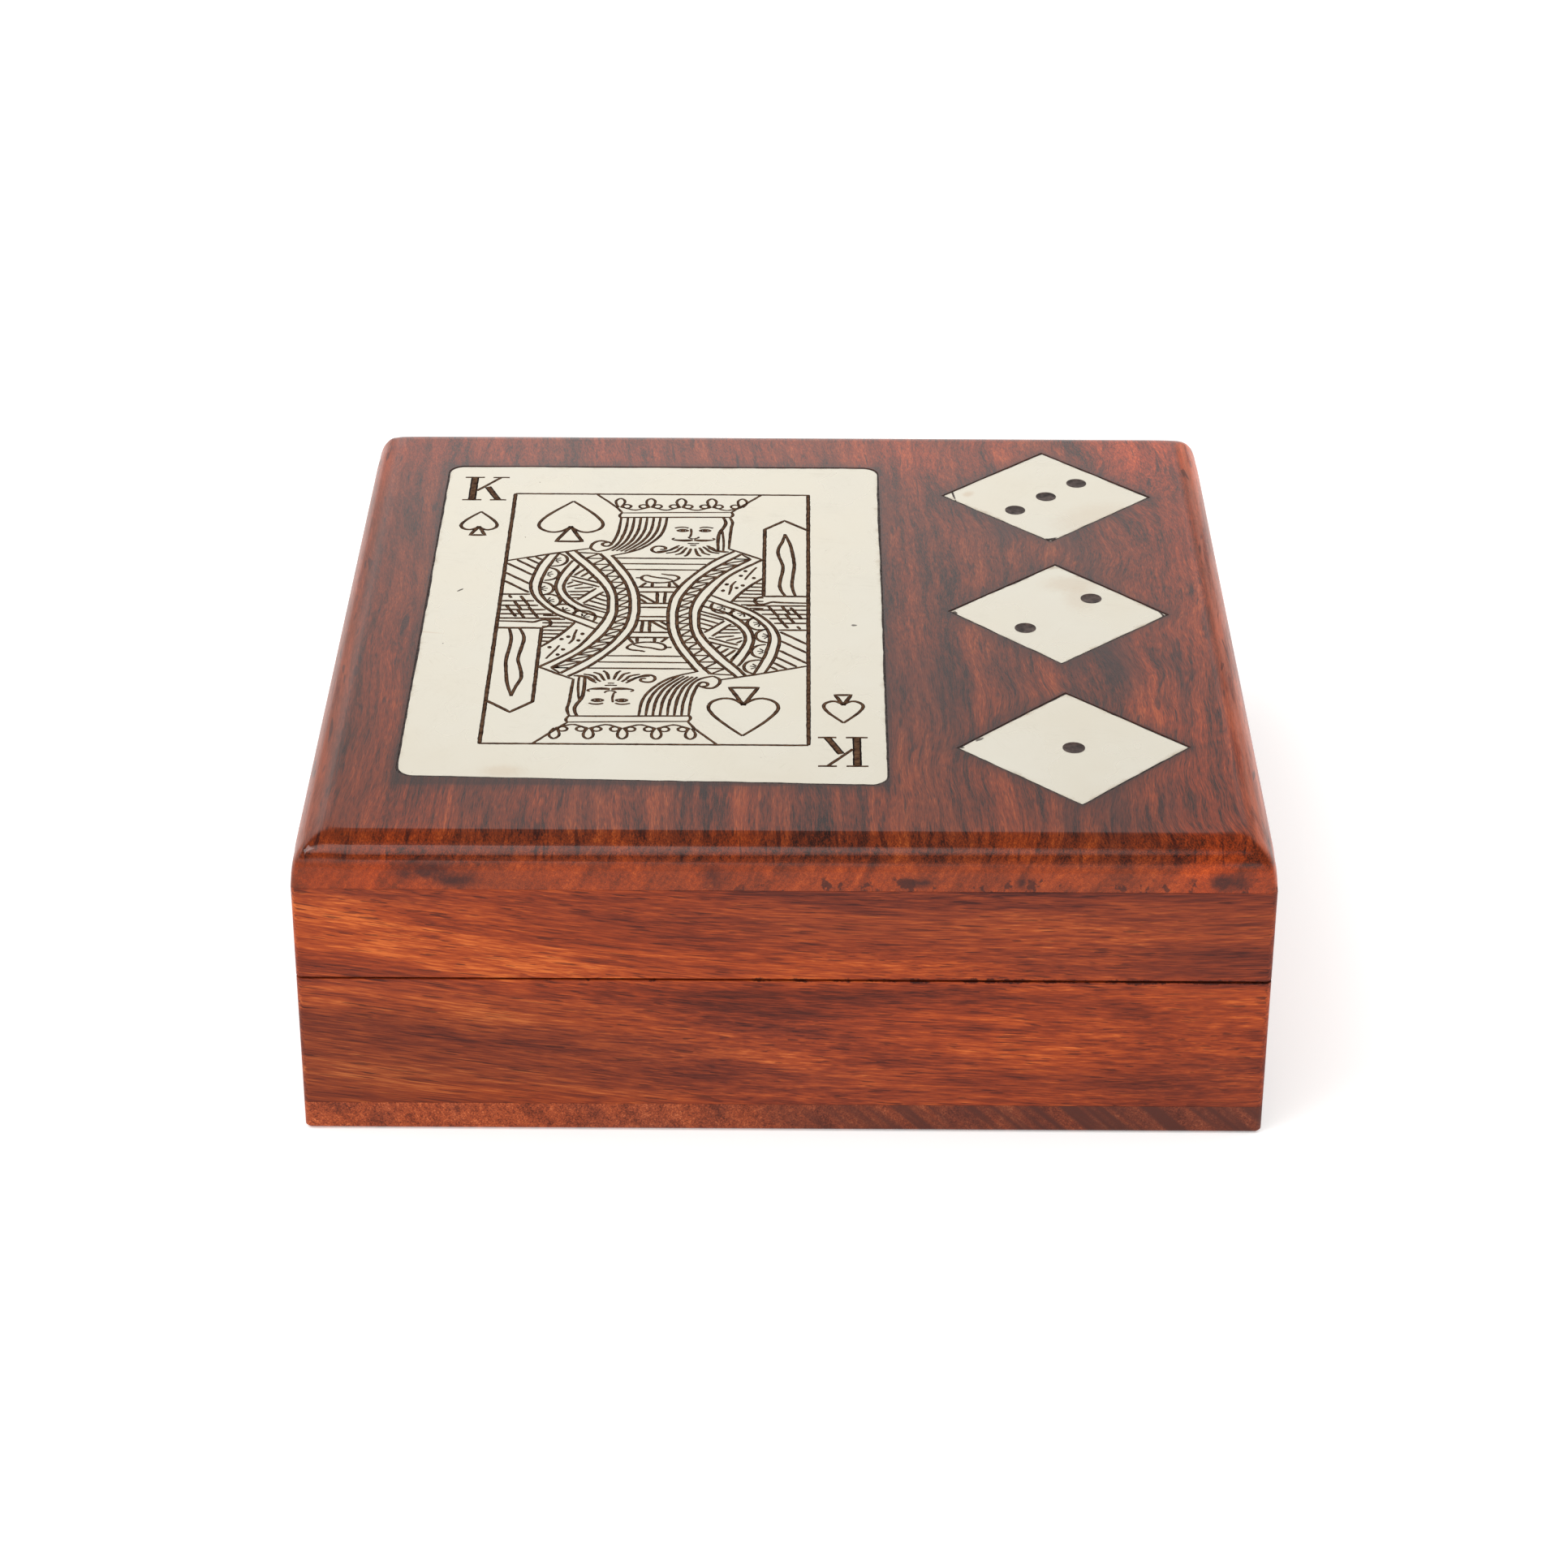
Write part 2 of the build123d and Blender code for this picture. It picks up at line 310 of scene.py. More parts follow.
def unsigned(value):
    """A value without its sign."""
    return add_node("Math", {0: value}, operation="ABSOLUTE").outputs[0]


def saw_cut(place, shader, colour):
    """A ragged dark band along both outer lips of the saw cut, painted shade of the gap, and saw
    marks across the bare rims.

    Below the cut, the wood is darker at the left end and a little lighter right of the middle.
    """
    across, deep, up = axes(place)
    away = unsigned(minus(up, gap_middle))
    inset_x = minus(unsigned(across), abs(outer_x))
    inset_y = minus(unsigned(deep), abs(outer_y))
    outside = soft(largest(inset_x, inset_y), -0.0006, -0.0001)
    marks = soft(add_noise(place, (1500, 30, 30)), 0.35, 0.65, 0.1, 0.4)
    on_rim = times(soft(away, 0.0004, 0.0002), minus(1.0, outside))
    colour = mix(on_rim, colour, mix(marks, colour, srgb(158, 84, 52)))
    below = soft(up, gap_middle - 0.001, gap_middle - 0.006)
    shade = ramp(soft(across, -0.05, 0.05), [(0.0, 0.8), (0.55, 1.13), (0.75, 1.1), (1.0, 1.0)])
    colour = mix(below, colour, tinted(colour, shade))
    # Painted shade of the saw gap: a ragged dark band along both lips, in a near black brown
    ragged = add_noise(place, 420, 4, 0.75)
    reach = plus(away, times(ragged, -0.0018), soft(across, -0.05, 0.04, 0.00014, -0.00006))
    share = times(soft(reach, -0.0009, -0.0007, 0.85, 0.0), outside)
    feed(shader, {
        "Base Color": mix(share, colour, srgb(36, 14, 12)),
        "Coat Weight": soft(on_rim, 0.0, 1.0, 0.2, 0.04),
    })


wall_tones = tones_of((72, 30, 24), (102, 41, 27), (132, 54, 30), (162, 72, 35), (198, 104, 52))
wall_figure = (0.32, 0.28, 0.15)
wall_size = (2, 1)
woods = {}
for wall, turn, shift, figured, bend in (
    ("front", (0, 0, 3), (-0.05, 0.004, 0.03), (0.36, 0.27, 0.15), -2.6),
    ("back", (0, 0, -3), (-0.01, 0.02, 0.01), wall_figure, 2.0),
    ("side", (0, 15, -90), (0.01, 0.03, 0.02), wall_figure, 2.0),
):
    woods[wall] = rosewood(
        f"{wall}_rosewood", turn, shift, wall_tones, figured, bend, wall_size, dress=saw_cut
    )
wall_woods = {"front": woods["front"], "back": woods["back"], "left": woods["side"], "right": woods["side"]}
for side, wood in wall_woods.items():
    eased_board(f"base_{side}_wall", "base", wood)

# Divider
# A rosewood strip housed in shallow grooves, which parts the cards from the dice. Its top edge
# has been rubbed smooth by fingers.

divider_wood = rosewood(
    "divider_rosewood", (0, 10, -90), (0.2, 0.05, 0), wall_tones, wall_figure, size=wall_size
)
eased_board("compartment_divider", "base", divider_wood, edge_ease=0.0006)

# Lid walls
# The upper part of the same four rosewood walls, sawn off with the lid, so they have the same
# figure. They are glued under the lid board.

for side, wood in wall_woods.items():
    eased_board(f"lid_{side}_wall", "lid", wood)

# Lid board
# A thick rosewood board with its grain from front to back, a rim rounded over by hand and a
# gloss lacquer. The wood is stained dark close round the inlays, where the filler was rubbed in.

lid_low, lid_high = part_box("lid_board")
card_low, card_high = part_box("card_plate")
card_centre = (card_low + card_high) / 2
card_half_width = (card_high.x - card_low.x) / 2
card_half_depth = (card_high.y - card_low.y) / 2
die_angles = {"one": 46.0, "two": 43.6, "three": 44.6}
die_side = 0.0195
die_centres = {die: sum(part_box(f"die_{die}_plate"), Vector()) / 2 for die in die_angles}

edge_distance, edge_in, edge_out = new_group(
    "Distance past a rectangle", ("Vector", "Half Width", "Half Depth"), ("Distance",)
)
across, deep, _ = axes(edge_in["Vector"])
past_x = minus(unsigned(across), edge_in["Half Width"])
past_y = minus(unsigned(deep), edge_in["Half Depth"])
feed(edge_out, {"Distance": largest(past_x, past_y)})


def seen_from(place, centre, degrees, size=(1, 1, 1)):
    """A place as it is seen from a centre, turned and measured in this size."""
    inputs = {"Vector": place, "Location": centre, "Rotation": (0, 0, math.radians(degrees)), "Scale": size}
    return add_node("Mapping", inputs, vector_type="TEXTURE").outputs["Vector"]


def length_of(vector):
    """How long a vector is."""
    return add_node("VectorMath", {0: vector}, operation="LENGTH").outputs["Value"]


def distance_past(place, centre, degrees, half_width, half_depth):
    """How far a point lies outside an inlay's outline, below zero inside it."""
    inlay = seen_from(place, (centre.x, centre.y, 0), degrees)
    inputs = {"Vector": inlay, "Half Width": half_width, "Half Depth": half_depth}
    return add_node("Group", inputs, node_tree=edge_distance).outputs["Distance"]


smallest = partial(worked_out, "MINIMUM")
mark_edge = 1.3
mark_fade = 1.8


def add_mark(colour, reach, strength, fade, shade):
    """A colour with a mark where reach is below the mark's edge, softened over fade."""
    return mix(soft(reach, mark_edge, mark_edge + fade, strength, 0.0), colour, shade)


def curl_grain(place):
    """Curls the grain among the dice, where the board was cut near a knot."""
    curly = soft(axes(place)["X"], 0.012, 0.034, 0.3, 1.0)
    waves = wandering(place, (26, 30, 26), (0.012, 0.004, 0.0))
    scaled = add_node("VectorMath", {0: waves, "Scale": curly}, operation="SCALE").outputs[0]
    return on_vectors("ADD", place, scaled)


def finish_lid(place, shader, colour):
    """Dresses the lid: stain beside the plates, dull wood at the rim with painted light, and dark marks.

    The faces below the rim are dull dry end grain, painted lighter as painted light; the rounded
    sides are painted pale, paler on the right, as painted light; and dark specks, dashes and
    knots lie in the figure of the top and in the front's end grain.
    """
    across, deep, up = axes(place)
    nearest = distance_past(place, card_centre, 0, card_half_width, card_half_depth)
    for die, angle in die_angles.items():
        past = distance_past(place, die_centres[die], angle, die_side / 2, die_side / 2)
        nearest = smallest(nearest, past)
    nearest = plus(nearest, times(add_noise(place, 900, 3, 0.7), -0.0009))
    on_top = soft(up, lid_high.z - 0.0028, lid_high.z - 0.0018)
    close = soft(nearest, -0.0004, 0.0009, 0.8, 0.0)
    halo = soft(nearest, -0.0002, 0.0026, 0.42, 0.0)
    stained = mix(times(largest(close, halo), on_top), colour, srgb(44, 24, 20))

    # Painted light: below the rim the board is painted lighter than its top, as if lit from the front, and
    # its coat is dulled there as dry end grain
    wavy = plus(up, times(add_noise(place, 120), 0.001))
    dry_lit_band = soft(wavy, lid_high.z - 0.0012, lid_high.z - 0.0024)
    # The rounded sides, up to where the front and back ends are nearer, painted paler as painted light
    side_gap = minus(lid_high.x, unsigned(across))
    end_gap = minus(lid_high.y, unsigned(deep))
    side_nearer = soft(minus(end_gap, side_gap), -0.0005, 0.0009)
    lit_flank = times(soft(side_gap, 0.0040, 0.0017), side_nearer)
    # The lighter colour painted below the rim and on the rounded sides, which is painted light
    lit_band_base = mix(0.35, stained, srgb(116, 50, 30))
    dried_and_lit = mix(largest(dry_lit_band, times(lit_flank, 0.6)), stained, tinted(lit_band_base, (1.55, 1.5, 1.35, 1)))
    # Painted light on the rounded sides: a paler colour with fibres, paler still on the right
    on_right = soft(across, -0.01, 0.01)
    rubbed = mix(on_right, srgb(150, 78, 46), srgb(166, 102, 84))
    fibres = add_noise(on_vectors("ADD", place, (0, 0, 0.02)), (40, 65, 1300), 5, 0.7)
    fibres = ramp(fibres, [(0.36, srgb(150, 132, 128)), (0.5, 1.0), (0.64, (1.5, 1.35, 1.3, 1))])
    dried_and_lit = mix(times(lit_flank, 0.45), dried_and_lit, tinted(rubbed, fibres))

    dried_and_lit = mix(soft(across, -0.046, -0.052, 0.0, 0.25), dried_and_lit, srgb(96, 46, 28))
    back_right = smallest(deep, plus(across, 0.03))
    for reach, start, end, tint in (
        (back_right, 0.036, 0.05, (1.14, 1.12, 1.02, 1)),
        (across, 0.039, 0.05, (1.3, 1.12, 0.92, 1)),
        (across, -0.036, -0.048, (1.08, 0.92, 0.68, 1)),
        (deep, 0.036, 0.05, (1.24, 1.08, 0.88, 1)),
    ):
        dried_and_lit = mix(soft(reach, start, end), dried_and_lit, tinted(dried_and_lit, tint))

    curled = curl_grain(place)
    smudge = times(add_noise(curled, (480, 60, 480), 5, 0.7), 2.6)
    for centre, size, strength in knots:
        reach = length_of(on_vectors("DIVIDE", on_vectors("SUBTRACT", place, centre), size))
        dried_and_lit = add_mark(dried_and_lit, plus(reach, smudge), strength, mark_fade, srgb(56, 32, 30))
    specks = soft(add_noise(place, (620, 40, 480), 3, 0.6), 0.58, 0.64)
    in_band = times(soft(up, 0.0353, 0.0347), soft(across, -0.016, 0.0))
    dried_and_lit = mix(times(specks, in_band, 0.8), dried_and_lit, srgb(62, 32, 28))
    ink = soft(add_noise(curled, (480, 45, 100), 4, 0.65), 0.57, 0.7)
    ink = times(ink, soft(across, 0.0, 0.03, 0.1, 0.5))
    dashes = soft(add_noise(curled, (1500, 150, 400), 1), 0.65, 0.72, 0.0, 0.6)
    dried_and_lit = mix(times(largest(ink, dashes), minus(1.0, dry_lit_band)), dried_and_lit, srgb(30, 16, 18))
    dull = largest(dry_lit_band, times(lit_flank, soft(on_right, 0.0, 1.0, 0.8, 0.85)))
    feed(shader, {
        "Base Color": dried_and_lit,
        "Coat Weight": soft(dull, 0, 1, 1.0, 0.3),
        "Coat Roughness": 0.09,
    })


# Centre, half size and strength of the dark marks, in the end grain at the front and on the top
knots = [((x, lid_low.y, z), (width, 0.004, height), 0.9) for x, z, width, height in (
    (-0.0415, 0.0356, 0.0032, 0.0011),
    (-0.0380, 0.0345, 0.0026, 0.0009),
    (-0.0080, 0.0349, 0.0011, 0.0015),
    (0.0157, 0.0344, 0.0017, 0.0006),
    (0.0275, 0.0345, 0.0006, 0.0009),
    (0.0502, 0.0346, 0.0014, 0.0010),
    (0.0526, 0.0347, 0.0014, 0.0011),
)]
knots += [((x, y, lid_high.z), (width, length, 0.003), strength) for x, y, width, length, strength in (
    (0.0405, -0.0120, 0.0028, 0.0085, 0.62),
    (0.0365, -0.0130, 0.0020, 0.0060, 0.4),
    (0.0288, 0.0252, 0.0013, 0.0028, 0.6),
    (0.0375, 0.0215, 0.0012, 0.0045, 0.55),
    (0.0395, 0.0150, 0.0010, 0.0040, 0.4),
    (0.0175, -0.0180, 0.0050, 0.0120, 0.4),
    (0.0390, -0.0500, 0.0022, 0.0060, 0.5),
    (0.0330, -0.0510, 0.0014, 0.0050, 0.45),
    (0.0455, -0.0470, 0.0012, 0.0060, 0.4),
    (0.0490, -0.0150, 0.0009, 0.0100, 0.35),
)]
lid_tones = tones_of((38, 22, 18), (76, 33, 20), (110, 44, 21), (132, 56, 24), (158, 76, 34))
lid_wood = rosewood(
    "lid_rosewood", (0, -32, -90), (0.05, 0.03, 0.02), lid_tones, (0.3, 0.31, 0.2),
    bend=0.8, size=(0.7, 0.62), pore_share=0.5, curl=curl_grain, dress=finish_lid,
)

corner_step = 0.00045
corner_cuts = 16
corner_reach = corner_step * corner_cuts
corner_depth = 0.0052
corner_blend = 0.0036
rub_passes = 24


def corner_inset(place):
    """How far a place lies inside the lid's nearest side and its nearest end, the larger of the two."""
    return max(lid_high.x - abs(place.x), lid_high.y - abs(place.y))


def rub_corners(form):
    """Cuts the rim finer at its four corners, where both round-overs meet, and rubs them down."""
    for step in range(corner_cuts, 0, -1):
        for direction, reach in ((Vector((1, 0, 0)), lid_high.x), (Vector((0, 1, 0)), lid_high.y)):
            for side in (-1, 1):
                faces = form.faces[:]
                if step < corner_cuts:
                    faces = [f for f in faces if corner_inset(f.calc_center_median()) < corner_reach]
                edges = {edge for face in faces for edge in face.edges}
                verts = {vert for face in faces for vert in face.verts}
                cut_place = direction * side * (reach - step * corner_step)
                bmesh.ops.bisect_plane(
                    form, geom=[*verts, *edges, *faces], plane_co=cut_place, plane_no=direction
                )
    corner = []
    for vert in form.verts:
        inset = corner_inset(vert.co)
        if inset < corner_reach - corner_step / 2 and vert.co.z > lid_high.z - corner_depth:
            share = min(1, (corner_reach - inset) / corner_blend)
            corner.append((vert, vert.co.copy(), share * share * (3 - 2 * share)))
    rubbed = [vert for vert, _, _ in corner]
    axes_used = {"use_axis_x": True, "use_axis_y": True, "use_axis_z": True}
    for _ in range(rub_passes):
        bmesh.ops.smooth_vert(form, verts=rubbed, factor=0.5, **axes_used)
    for vert, before, share in corner:
        vert.co = before.lerp(vert.co, share)


eased_board("lid_board", "lid", lid_wood, rub=rub_corners)

# Inlay filler
# Dark brown lacquer filler, which beds each plate in its pocket and shows as a thin line
# round it.

pocket_floor_z = card_low.z
lid_top_z = card_high.z
pocket_gap = 0.0002
filler_top_z = lid_top_z - 0.00006
filler_ease = 0.00002
wander_step = 0.0009
shortest_side = 0.005
# Without a seed, this noise comes out differently each time
noise_seed = 7
noise.seed_set(noise_seed)


def picked(result, kind):
    """The vertices or faces among what an operator made."""
    return [item for item in result["geom"] if isinstance(item, kind)]


def outline_slab(name, corners, corner_round, high_z, edge_ease, material, wander=0.0):
    """A flat slab on the pocket's floor, with a softened upper edge and an outline that may wander."""
    form = bmesh.new()
    form.faces.new([form.verts.new((*corner, high_z)) for corner in corners])
    if corner_round > 0:
        bmesh.ops.bevel(
            form, geom=form.verts[:], offset=corner_round, offset_type="OFFSET",
            segments=8, profile=0.5, affect="VERTICES", material=-1,
        )
    if wander:
        for edge in [edge for edge in form.edges if edge.calc_length() > shortest_side]:
            bmesh.ops.subdivide_edges(form, edges=[edge], cuts=round(edge.calc_length() / wander_step))
        for vert in form.verts:
            shake = noise.noise_vector(vert.co * 220) + noise.noise_vector(vert.co * 700) * 0.8
            vert.co += Vector((shake.x, shake.y, 0)) * wander
    bmesh.ops.recalc_face_normals(form, faces=form.faces)
    lowered = picked(bmesh.ops.extrude_face_region(form, geom=form.faces[:]), bmesh.types.BMVert)
    bmesh.ops.translate(form, verts=lowered, vec=(0, 0, pocket_floor_z - high_z))
    bmesh.ops.recalc_face_normals(form, faces=form.faces)
    rim = [edge for edge in form.edges if all(abs(vert.co.z - high_z) < 0.000001 for vert in edge.verts)]
    bmesh.ops.bevel(
        form, geom=rim, offset=edge_ease, offset_type="OFFSET",
        segments=2, profile=0.5, affect="EDGES", material=-1,
    )
    return new_object(name, form_mesh(form, name, material))


def square_corners(centre, side, angle):
    """The four corners of a square plate that is turned by angle."""
    turn = Matrix.Rotation(math.radians(angle), 2)
    half = side / 2
    offsets = [(-half, -half), (half, -half), (half, half), (-half, half)]
    return [Vector((centre.x, centre.y)) + turn @ Vector(offset) for offset in offsets]


card_left_length = 0.0868


def card_corners(grow):
    """The card plate's corners, a little longer on the right, moved outwards by grow."""
    left, right = card_low.x - grow, card_high.x + grow
    back = card_high.y + grow
    left_front = card_high.y - card_left_length - grow
    return [(left, left_front), (right, card_low.y - grow), (right, back), (left, back)]


def lacquer(name, grains, coarseness, stops, dullness, depth, dress=None):
    """Blotched lacquer with these colours, dull where it is dark, to which dress may add."""
    material, shader, place = new_material(name)
    blotches = add_noise(place, grains, 4, coarseness)
    colour = ramp(blotches, stops)
    feed(shader, {
        "Base Color": colour,
        "Roughness": soft(blotches, 0.3, 0.7, *dullness),
        "Normal": relief(blotches, *depth),
    })
    if dress:
        dress(place, shader, colour)
    return material


filler_stops = [(0.35, srgb(26, 15, 13)), (0.65, srgb(62, 42, 36))]
filler = lacquer("dark_filler", 1800, 0.7, filler_stops, (0.65, 0.35), (0.4, 0.00005))
filler_beds = {"card": card_corners(pocket_gap)}
for die, angle in die_angles.items():
    filler_beds[f"die_{die}"] = square_corners(die_centres[die], die_side + 2 * pocket_gap, angle)
for inlay, corners in filler_beds.items():
    corner_round = 0.0022 if inlay == "card" else 0.0
    bed = outline_slab(f"{inlay}_filler", corners, corner_round, filler_top_z, filler_ease, filler)
    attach(bed, "lid")

# Card plate
# A hand-cut sheet of pale nickel silver with rounded corners, let in flush and polished. It has
# fine scratches, a few dark specks and a brown tarnish that creeps in from its edges.

plate_top_z = lid_top_z - 0.00004
plate_edge_ease = 0.00005
plate_play = 0.00004
plate_wander = 0.0001

polish, polish_in, polish_out = new_group(
    "Polished plate", ("Vector", "Distance", "Tarnish"), ("Color", "Roughness", "Height")
)
plate_place = polish_in["Vector"]
smears = add_noise(plate_place, (60, 45, 60), 3, 0.6)
cool = ramp(smears, [(0.35, srgb(240, 233, 216)), (0.65, srgb(247, 242, 227))])
scratches = []
for angle, reach in ((8, 260), (64, 420), (117, 330)):
    turned = rotated(plate_place, angle, "Z")
    lines = soft(add_noise(turned, (reach, 16000, 100), 1), 0.66, 0.72)
    scratches.append(times(lines, soft(add_noise(turned, (90, 140, 100), 1), 0.5, 0.65)))
scratched = largest(*scratches)
creep = times(add_noise(plate_place, 420, 4, 0.7), 0.0026)
tarnish = times(soft(plus(polish_in["Distance"], creep), 0.0008, 0.0022), polish_in["Tarnish"])
specks = soft(add_noise(plate_place, 850), 0.77, 0.8)
colour = mix(times(scratched, 0.25), cool, srgb(196, 184, 160))
colour = mix(tarnish, colour, srgb(176, 146, 112))
feed(polish_out, {
    "Color": mix(specks, colour, srgb(88, 62, 46)),
    "Roughness": plus(soft(smears, 0.3, 0.7, 0.22, 0.32), times(tarnish, 0.25)),
    "Height": minus(smears, times(scratched, 0.5), specks),
})


def nickel_silver(name, centre, degrees, half_width, half_depth, tarnish, marks):
    """Polished nickel silver for one plate, whose edges are this far from its centre.

    marks are its nicks and stains: a place, half a length and a width, a heading, a strength and
    a kind for each.
    """
    material, shader, place = new_material(name)
    inputs = {
        "Vector": place,
        "Distance": distance_past(place, centre, degrees, half_width, half_depth),
        "Tarnish": tarnish,
    }
    surface = add_node("Group", inputs, node_tree=polish).outputs
    colour = surface["Color"]
    ragged = times(add_noise(place, 1500, 3, 0.7), 1.4)
    for x, y, length, width, heading, strength, (fade, shade) in marks:
        reach = length_of(seen_from(place, (x, y, plate_top_z), heading, (length, width, 1.0)))
        colour = add_mark(colour, plus(reach, ragged), strength, fade, shade)
    feed(shader, {
        "Base Color": colour,
        "Roughness": surface["Roughness"],
        "Normal": relief(surface["Height"], 0.25, 0.00003),
        "Metallic": 0.45,
    })
    return material


nick = (0.4, srgb(52, 32, 24))
stain = (mark_fade, srgb(208, 168, 128))
card_marks = [
    (-0.0420, 0.0075, 0.0007, 0.0002, 50, 0.9, nick),
    (-0.0456, -0.0044, 0.0013, 0.0001, -10, 0.25, stain),
    (0.0086, -0.0020, 0.0004, 0.0003, 0, 0.8, nick),
    (-0.0335, -0.0405, 0.0016, 0.0009, 0, 0.2, stain),
]
card_metal = nickel_silver(
    "card_nickel_silver", card_centre, 0, card_half_width, card_half_depth, 0.5, card_marks
)
card = outline_slab(
    "card_sheet", card_corners(-plate_play), 0.002, plate_top_z, plate_edge_ease, card_metal, plate_wander
)
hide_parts("card_plate")
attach(card, "lid")

# Engraving
# A traditional double-ended court card, cut into the plate by hand and filled with dark brown
# lacquer. One half is drawn in millimetres from the middle of the frame, and the other is the
# same half turned end for end.

mm = 0.001
figure_centre = Vector((-0.01694, 0.00147, plate_top_z))
line_width = 0.34
pen_weight = 1.3
frame_right, frame_left = 19.85, -19.75
frame_top = 35.2
run_step = 0.45
fill_height = 0.00002
fill_shoulder = 0.000011
fill_flatness = 0.15
engraving = bpy.data.curves.new("card_engraving", "CURVE")
engraving.dimensions = "3D"
engraving.bevel_depth = 1.0
engraving.bevel_resolution = 1
engraving.use_fill_caps = True


def cut(points, width=line_width, closed=False, taper=0.75, kind="NURBS"):
    """Cuts one smooth line through points, or one of that kind of spline, thinner at its ends."""
    spline = engraving.splines.new(kind)
    spline.points.add(len(points) - 1)
    for index, (point, place) in enumerate(zip(spline.points, points)):
        at_end = not closed and index in (0, len(points) - 1)
        point.co = (place[0] * mm, place[1] * mm, 0, 1)
        point.radius = width * pen_weight / 2 * mm * (taper if at_end else 1)
    spline.resolution_u = 5
    if kind == "NURBS":
        spline.order_u = 3 if len(points) > 2 else 2
        spline.use_endpoint_u = not closed
    spline.use_cyclic_u = closed


def score(points, width=line_width, taper=0.75):
    """Cuts straight runs through points, in short steps, so that they can come out a little ragged."""
    runs = []
    for start, end in zip(points, points[1:]):
        steps = max(1, round(math.dist(start, end) / run_step))
        runs += [Vector(start).lerp(Vector(end), step / steps) for step in range(steps)]
    cut([*runs, Vector(points[-1])], width, taper=taper, kind="POLY")


def oval(centre, width, height, pen=line_width):
    """Cuts a closed loop."""
    turns = [math.tau * step / 8 for step in range(8)]
    ring = [(centre[0] + width / 2 * math.sin(t), centre[1] + height / 2 * math.cos(t)) for t in turns]
    cut([(x * 1.08 - centre[0] * 0.08, y * 1.08 - centre[1] * 0.08) for x, y in ring], pen, closed=True)


# The frame: each half has one long side and one short side.
score([(frame_left, -frame_top), (frame_left, frame_top)], 0.42)
score([(frame_left, frame_top), (frame_right, frame_top - 0.1)], 0.33)

# The index: a plain letter K with serifs, over a small spade, and a large spade in the frame.
letter_left, letter_right = -26.9, -21.0
letter_low, letter_high = 33.2, 40.3
stem_x = letter_left + 1.35
score([(stem_x, letter_low), (stem_x, letter_high)], 0.82, taper=1)
for level in (letter_low, letter_high):
    score([(stem_x - 1.3, level), (stem_x + 1.3, level)], 0.3, taper=1)
    score([(letter_right - 2.1, level), (letter_right + 0.1, level)], 0.3, taper=1)
score([(letter_right - 1, letter_high), (stem_x + 0.5, letter_low + 2.9)], 0.36, taper=1)
score([(stem_x + 1.9, letter_low + 4.1), (letter_right - 1, letter_low)], 0.7, taper=1)


def spade(centre_x, foot, width, height, pen):
    """Cuts a spade in outline, with an open three-cornered stem."""
    half, stem_top = width / 2, foot + height * 0.37
    for side in (-1, 1):
        lobe = [(0, 0.37), (0.16, 0.27), (0.5, 0.21), (0.84, 0.27), (1, 0.38), (0.95, 0.5),
                (0.62, 0.72), (0, 1)]
        cut([(centre_x + side * half * x, foot + height * y) for x, y in lobe], pen)
    base = width * 0.2
    stem = [(centre_x, stem_top), (centre_x - base, foot), (centre_x + base, foot), (centre_x, stem_top)]
    score(stem, pen * 1.15, taper=1)


spade(-11.8, 20.5, 8.7, 12.4, 0.38)
spade(-24, 22.3, 4.9, 7.2, 0.36)

# The crown: a field behind it, a band, and five trefoils joined by scallops.
band_left, band_right = -5.1, 9.5
score([(-8.8, frame_top), (-6, 31.2), (band_left, 29.3)], 0.3)
score([(13.5, frame_top), (11.4, 32.3), (band_right, 29.7)], 0.3)
cut([(band_left, 29.3), (2, 29.5), (band_right, 29.6)], 0.3)
cut([(band_left - 0.1, 27.9), (2, 28.05), (band_right - 0.1, 28.1)], 0.36)
cut([(band_left, 29.4), (band_left - 0.6, 28.4), (band_left - 0.1, 27.8)], 0.36)
cut([(band_right, 29.6), (band_right + 0.4, 28.8), (band_right - 0.1, 28.1)], 0.36)
trefoil_pitch = 4.1
for count in range(5):
    centre = -5.5 + trefoil_pitch * count
    cut([(centre - 0.1, 31.1), (centre - 0.9, 32.6), (centre, 34.2), (centre + 0.9, 32.6),
         (centre + 0.1, 31.1)], 0.3)
    if count > 0:
        oval((centre - 0.95, 31.35), 1.1, 1.1, 0.28)
    if count < 4:
        oval((centre + 0.95, 31.35), 1.1, 1.1, 0.28)
        middle = centre + trefoil_pitch / 2
        cut([(centre + 0.1, 31.1), (centre + 1.1, 30.6), (middle, 30.1), (middle + 1, 30.6),
             (middle + 2, 31.1)], 0.28)

# The hair: strands that fall from the band and sweep back to the shoulder, ending in a curl.
outer_strand = [(-4.3, 27.8), (-4.35, 25), (-4.7, 22.4), (-5.3, 19.6), (-6.6, 17.8), (-8, 17.5)]
inner_strand = [(0.9, 27.9), (0.8, 25), (0.2, 22.2), (-1.2, 19.6), (-3.2, 17.4), (-6, 16.3)]
strand_count = 7
for strand in range(strand_count):
    share = strand / (strand_count - 1)
    fall = [Vector(a).lerp(Vector(b), share) for a, b in zip(outer_strand, inner_strand)]
    cut(fall[: 6 if strand in (0, strand_count - 1) else 5])
cut([(-5.2, 27.8), (-5.3, 24), (-5.7, 21.6), (-6.1, 19.8), (-6.6, 19), (-7.4, 19.3), (-7.3, 20.2),
     (-6.7, 20.2)])
cut([(-8, 17.5), (-8.9, 18.2), (-8.8, 19.6), (-8, 20.8), (-6.8, 20.6), (-6.1, 19.9)], 0.36)
cut([(8.4, 28), (8.9, 26.6), (8.6, 25), (8, 23.6), (7.8, 21), (7.9, 17.8)], 0.4)
cut([(9.3, 28), (9.8, 26.6), (9.5, 24.8), (9.4, 21), (9.3, 18.4)])
cut([(8.3, 24), (8.7, 21.6), (8.6, 17.6)], 0.3)

